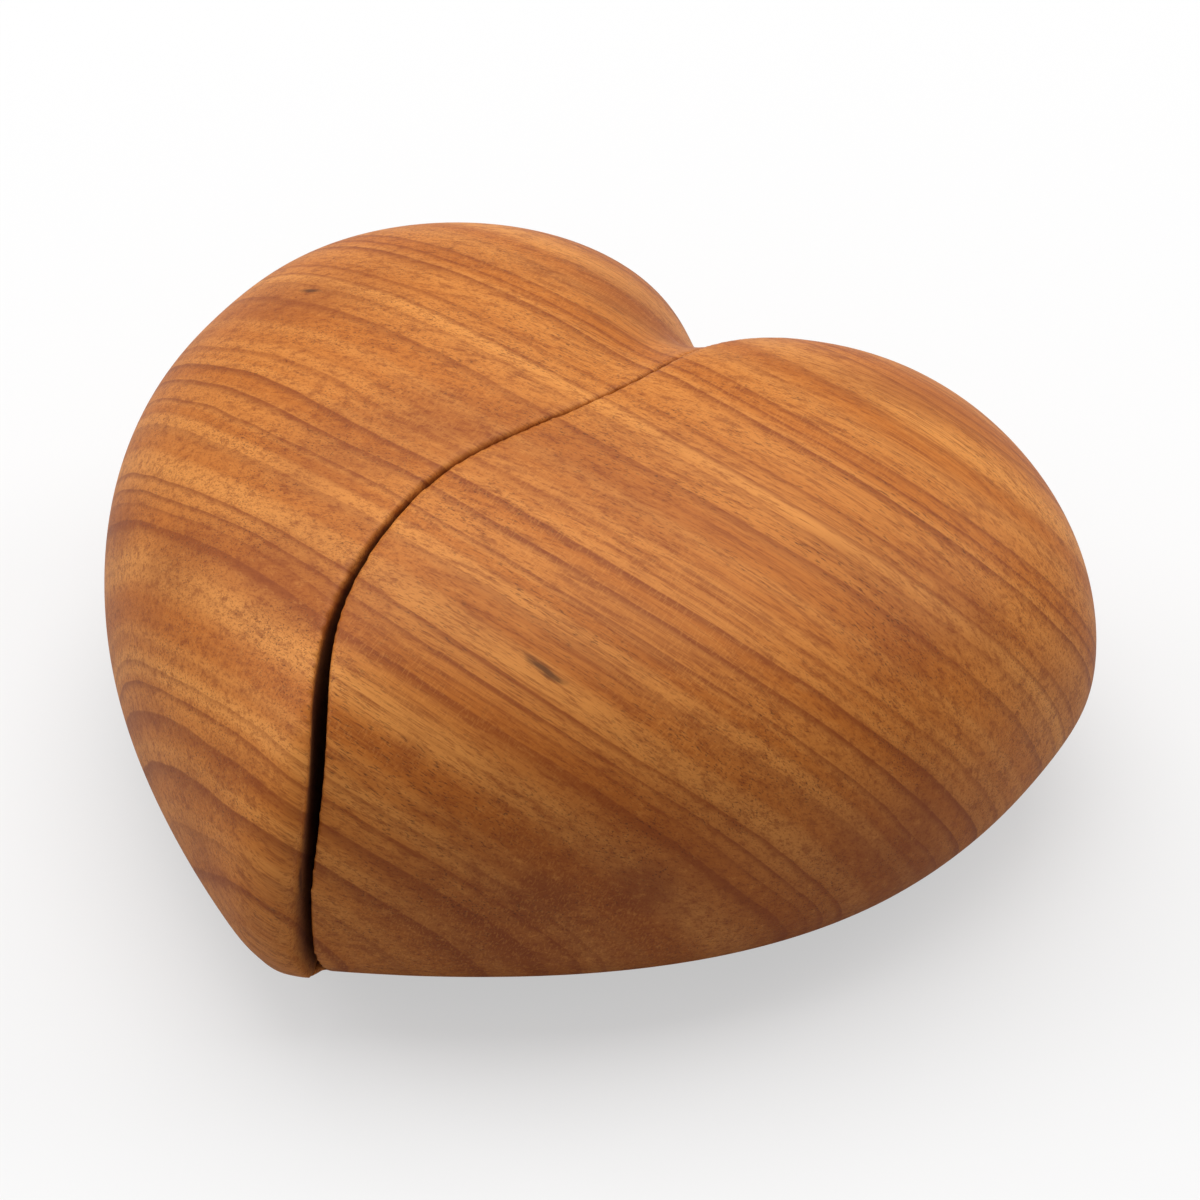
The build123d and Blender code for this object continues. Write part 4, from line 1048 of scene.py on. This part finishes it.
    def loose_fibres(self, felt: bpy.types.Object, material: bpy.types.Material) -> bpy.types.Object:
        """Grow the loose fibres and turn them into a plain mesh.

        Args:
            felt: The felt they stand on.
            material: Their material.

        Returns:
            The fibres, as one piece.
        """
        tree = self.fibre_tree(material)
        carrier = bpy.data.objects.new("fibre_carrier", felt.data)
        bpy.context.scene.collection.objects.link(carrier)
        grow = carrier.modifiers.new("grow", "NODES")
        grow.node_group = tree
        values = {
            "Density": self.fibres / self.area(),
            "Length": self.fibre_length / 2,
            "Radius": self.fibre_radius,
        }
        for item in tree.interface.items_tree:
            if item.in_out == "INPUT" and item.name in values:
                grow[item.identifier] = values[item.name]
        view = bpy.context.evaluated_depsgraph_get()
        mesh = bpy.data.meshes.new_from_object(carrier.evaluated_get(view))
        bpy.data.objects.remove(carrier)
        mesh.name = "felt_fibres"
        piece = bpy.data.objects.new("felt_fibres", mesh)
        bpy.context.scene.collection.objects.link(piece)
        return piece

    def build(self) -> None:
        """Lay the felt in the tray."""
        material = self.finish.build()
        felt = self.sheet()
        felt.data.materials.append(material)
        fibres = self.loose_fibres(felt, material)
        for piece in (felt, fibres):
            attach(piece, "heart")
        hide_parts("tray_liner")
        log.info("laid the felt with %d fibre faces", len(fibres.data.polygons))


@dataclass
class Movement:
    """The musical movement and the metal fittings, which keep their own meshes.

    Attributes:
        dressed: The finish of each node, by the node's name.
    """

    dressed: dict[str, MetalFinish | NylonFinish]

    def build(self) -> None:
        """Give every node its finish."""
        made: dict[str, bpy.types.Material] = {}
        for node, finish in self.dressed.items():
            if finish.name not in made:
                made[finish.name] = finish.build()
            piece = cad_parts[node]
            for slot in piece.material_slots:
                slot.material = made[finish.name]
            log.info("dressed %s in %s", node, finish.name)


@dataclass
class Studio:
    """The pale floor, the soft lights and the camera.

    Attributes:
        turn: The camera's angle round the heart from the front, in radians.
        rise: Its angle above the table, in radians.
        distance: From the heart's middle to the camera, in metres.
        lens: Focal length on a 36 mm sensor, in millimetres.
        shift: The camera's shift across and up.
        aim: What the camera and the lights face, in metres.
        floor_reach: Half the floor's side, in metres.
        floor_tone: How pale the floor is where it is seen.
        floor_bounce: How much of the light it throws back on the heart.
        floor_glow: Share of the floor that is evenly lit from below.
        floor_white: Tone of that light.
        sky: Strength of the light from all round.
    """

    turn: float = radians(33.27)
    rise: float = radians(42.98)
    distance: float = 0.7259
    lens: float = 144.7
    shift: tuple[float, float] = (0.0296, 0.0088)
    aim: tuple[float, float, float] = (0.0, 0.0, 23.0 * MM)
    floor_reach: float = 3.0
    floor_tone: float = 0.78
    floor_bounce: float = 0.5
    floor_glow: float = 0.54
    floor_white: float = 0.947
    sky: float = 0.36

    def camera(self) -> None:
        """Set the camera where the heart is seen from its front right."""
        level = cos(self.rise)
        back = Vector((sin(self.turn) * level, -cos(self.turn) * level, sin(self.rise)))
        data = bpy.data.cameras.new("view")
        data.lens = self.lens
        data.shift_x, data.shift_y = self.shift
        data.clip_start = 0.01
        camera = bpy.data.objects.new("view", data)
        camera.location = Vector(self.aim) + back * self.distance
        camera.rotation_euler = back.to_track_quat("Z", "Y").to_euler()
        bpy.context.scene.collection.objects.link(camera)
        bpy.context.scene.camera = camera

    def floor(self) -> None:
        """Lay the pale floor."""
        work = bmesh.new()
        bmesh.ops.create_grid(work, x_segments=1, y_segments=1, size=self.floor_reach)
        mesh = bpy.data.meshes.new("floor")
        work.to_mesh(mesh)
        work.free()
        floor = bpy.data.objects.new("floor", mesh)
        bpy.context.scene.collection.objects.link(floor)
        tree = ShaderTree("pale_floor")
        # Seen directly it is a bright sheet lit from below as well; it throws less light on the heart.
        seen = tree.add("LightPath").outputs["Is Camera Ray"]
        tint = tree.blend(seen, grey(self.floor_bounce), grey(self.floor_tone))
        tree.join(tint, tree.shader.inputs["Base Color"])
        tree.set(Roughness=0.9, Specular_IOR_Level=0.1)
        glow = tree.add("Emission")
        glow.inputs["Color"].default_value = grey(self.floor_white)
        mix = tree.add("MixShader")
        tree.join(tree.scaled(seen, self.floor_glow), mix.inputs[0])
        tree.join(tree.shader.outputs[0], mix.inputs[1])
        tree.join(glow.outputs[0], mix.inputs[2])
        output = tree.material.node_tree.nodes["Material Output"]
        tree.join(mix.outputs[0], output.inputs["Surface"])
        mesh.materials.append(tree.material)

    def light(self, name: str, place: tuple[float, float, float], size: float, power: float) -> None:
        """Hang one soft square light that faces the heart.

        Args:
            name: The light's name.
            place: Where it hangs, in metres.
            size: Its side, in metres.
            power: Its power, in watts.
        """
        data = bpy.data.lights.new(name, "AREA")
        data.size = size
        data.energy = power
        lamp = bpy.data.objects.new(name, data)
        lamp.location = place
        lamp.rotation_euler = (Vector(place) - Vector(self.aim)).to_track_quat("Z", "Y").to_euler()
        bpy.context.scene.collection.objects.link(lamp)

    def build(self) -> None:
        """Set up the whole studio."""
        self.camera()
        self.floor()
        self.light("ceiling_softbox", (-0.5, 0.6, 2.2), 2.6, 56.0)
        self.light("window_left", (-1.5, -0.5, 1.1), 1.0, 10.0)
        self.light("window_behind_right", (0.7, 1.1, 0.9), 0.7, 5.0)
        world = bpy.data.worlds.new("studio")
        world.use_nodes = True
        sky = world.node_tree.nodes["Background"]
        sky.inputs["Color"].default_value = grey(1.0)
        sky.inputs["Strength"].default_value = self.sky
        bpy.context.scene.world = world
        bpy.context.scene.view_settings.view_transform = "Standard"


def movement_finishes() -> dict[str, MetalFinish | NylonFinish]:
    """Say which finish each fitting and part of the movement has.

    Returns:
        Finishes by node name.
    """
    brass = (rgb(0.80, 0.58, 0.26), rgb(0.55, 0.37, 0.15))
    steel = (rgb(0.62, 0.62, 0.61), rgb(0.42, 0.42, 0.42))
    nickel = (rgb(0.74, 0.71, 0.66), rgb(0.60, 0.57, 0.52))
    spring = (rgb(0.30, 0.31, 0.34), rgb(0.17, 0.18, 0.22))
    zinc = (rgb(0.50, 0.51, 0.52), rgb(0.36, 0.37, 0.38))
    turned_brass_y = MetalFinish("brass_turned_along_y", *brass, 0.18, Tooling.TURNED_ABOUT_Y)
    turned_brass_z = MetalFinish("brass_turned_upright", *brass, 0.2, Tooling.TURNED_ABOUT_Z)
    rolled_brass = MetalFinish("brass_rolled", *brass, 0.26, Tooling.BRUSHED_ALONG_Y)
    ground_steel = MetalFinish("steel_ground", *steel, 0.24, Tooling.BRUSHED_ALONG_Y)
    turned_steel = MetalFinish("steel_turned", *steel, 0.2, Tooling.TURNED_ABOUT_Z)
    blued_steel = MetalFinish("steel_spring", *spring, 0.22, Tooling.TUMBLED)
    plated = MetalFinish("nickel_plate", *nickel, 0.12, Tooling.TUMBLED, 0.004 * MM)
    cast_zinc = MetalFinish("zinc_cast", *zinc, 0.42, Tooling.CAST, 0.05 * MM)
    worn = {
        turned_brass_y: ("tune_cylinder", "cylinder_ends", "cylinder_pinion", "drive_wheel",
                         "governor_wheel"),
        turned_brass_z: ("pivot_bush", "pivot_insert", "spring_barrel", "barrel_cover"),
        rolled_brass: ("stop_slide", "winding_key"),
        ground_steel: ("comb", "front_bearing", "back_bearing", "barrel_bridge", "governor_frame"),
        turned_steel: ("pivot_screw", "crank_pin", "winding_arbor", "cylinder_arbor", "worm_spindle",
                       "bridge_screws", "mount_screws", "comb_screws", "governor_screws"),
        blued_steel: ("mainspring", "clutch_spring"),
        plated: ("base_magnet", "lid_magnet"),
        cast_zinc: ("bedplate", "comb_block", "bass_weights"),
        NylonFinish(): ("pivot_washer", "air_brake"),
    }
    return {node: finish for finish, nodes in worn.items() for node in nodes}


def main() -> None:
    """Build the music box's looks, one sub-assembly after another."""
    logging.basicConfig(level=logging.INFO, format="%(name)s: %(message)s")
    Studio().build()
    CarvedWood(CherryFinish()).build()
    TrayLining(FeltFinish()).build()
    Movement(movement_finishes()).build()


if __name__ == "__main__":
    main()
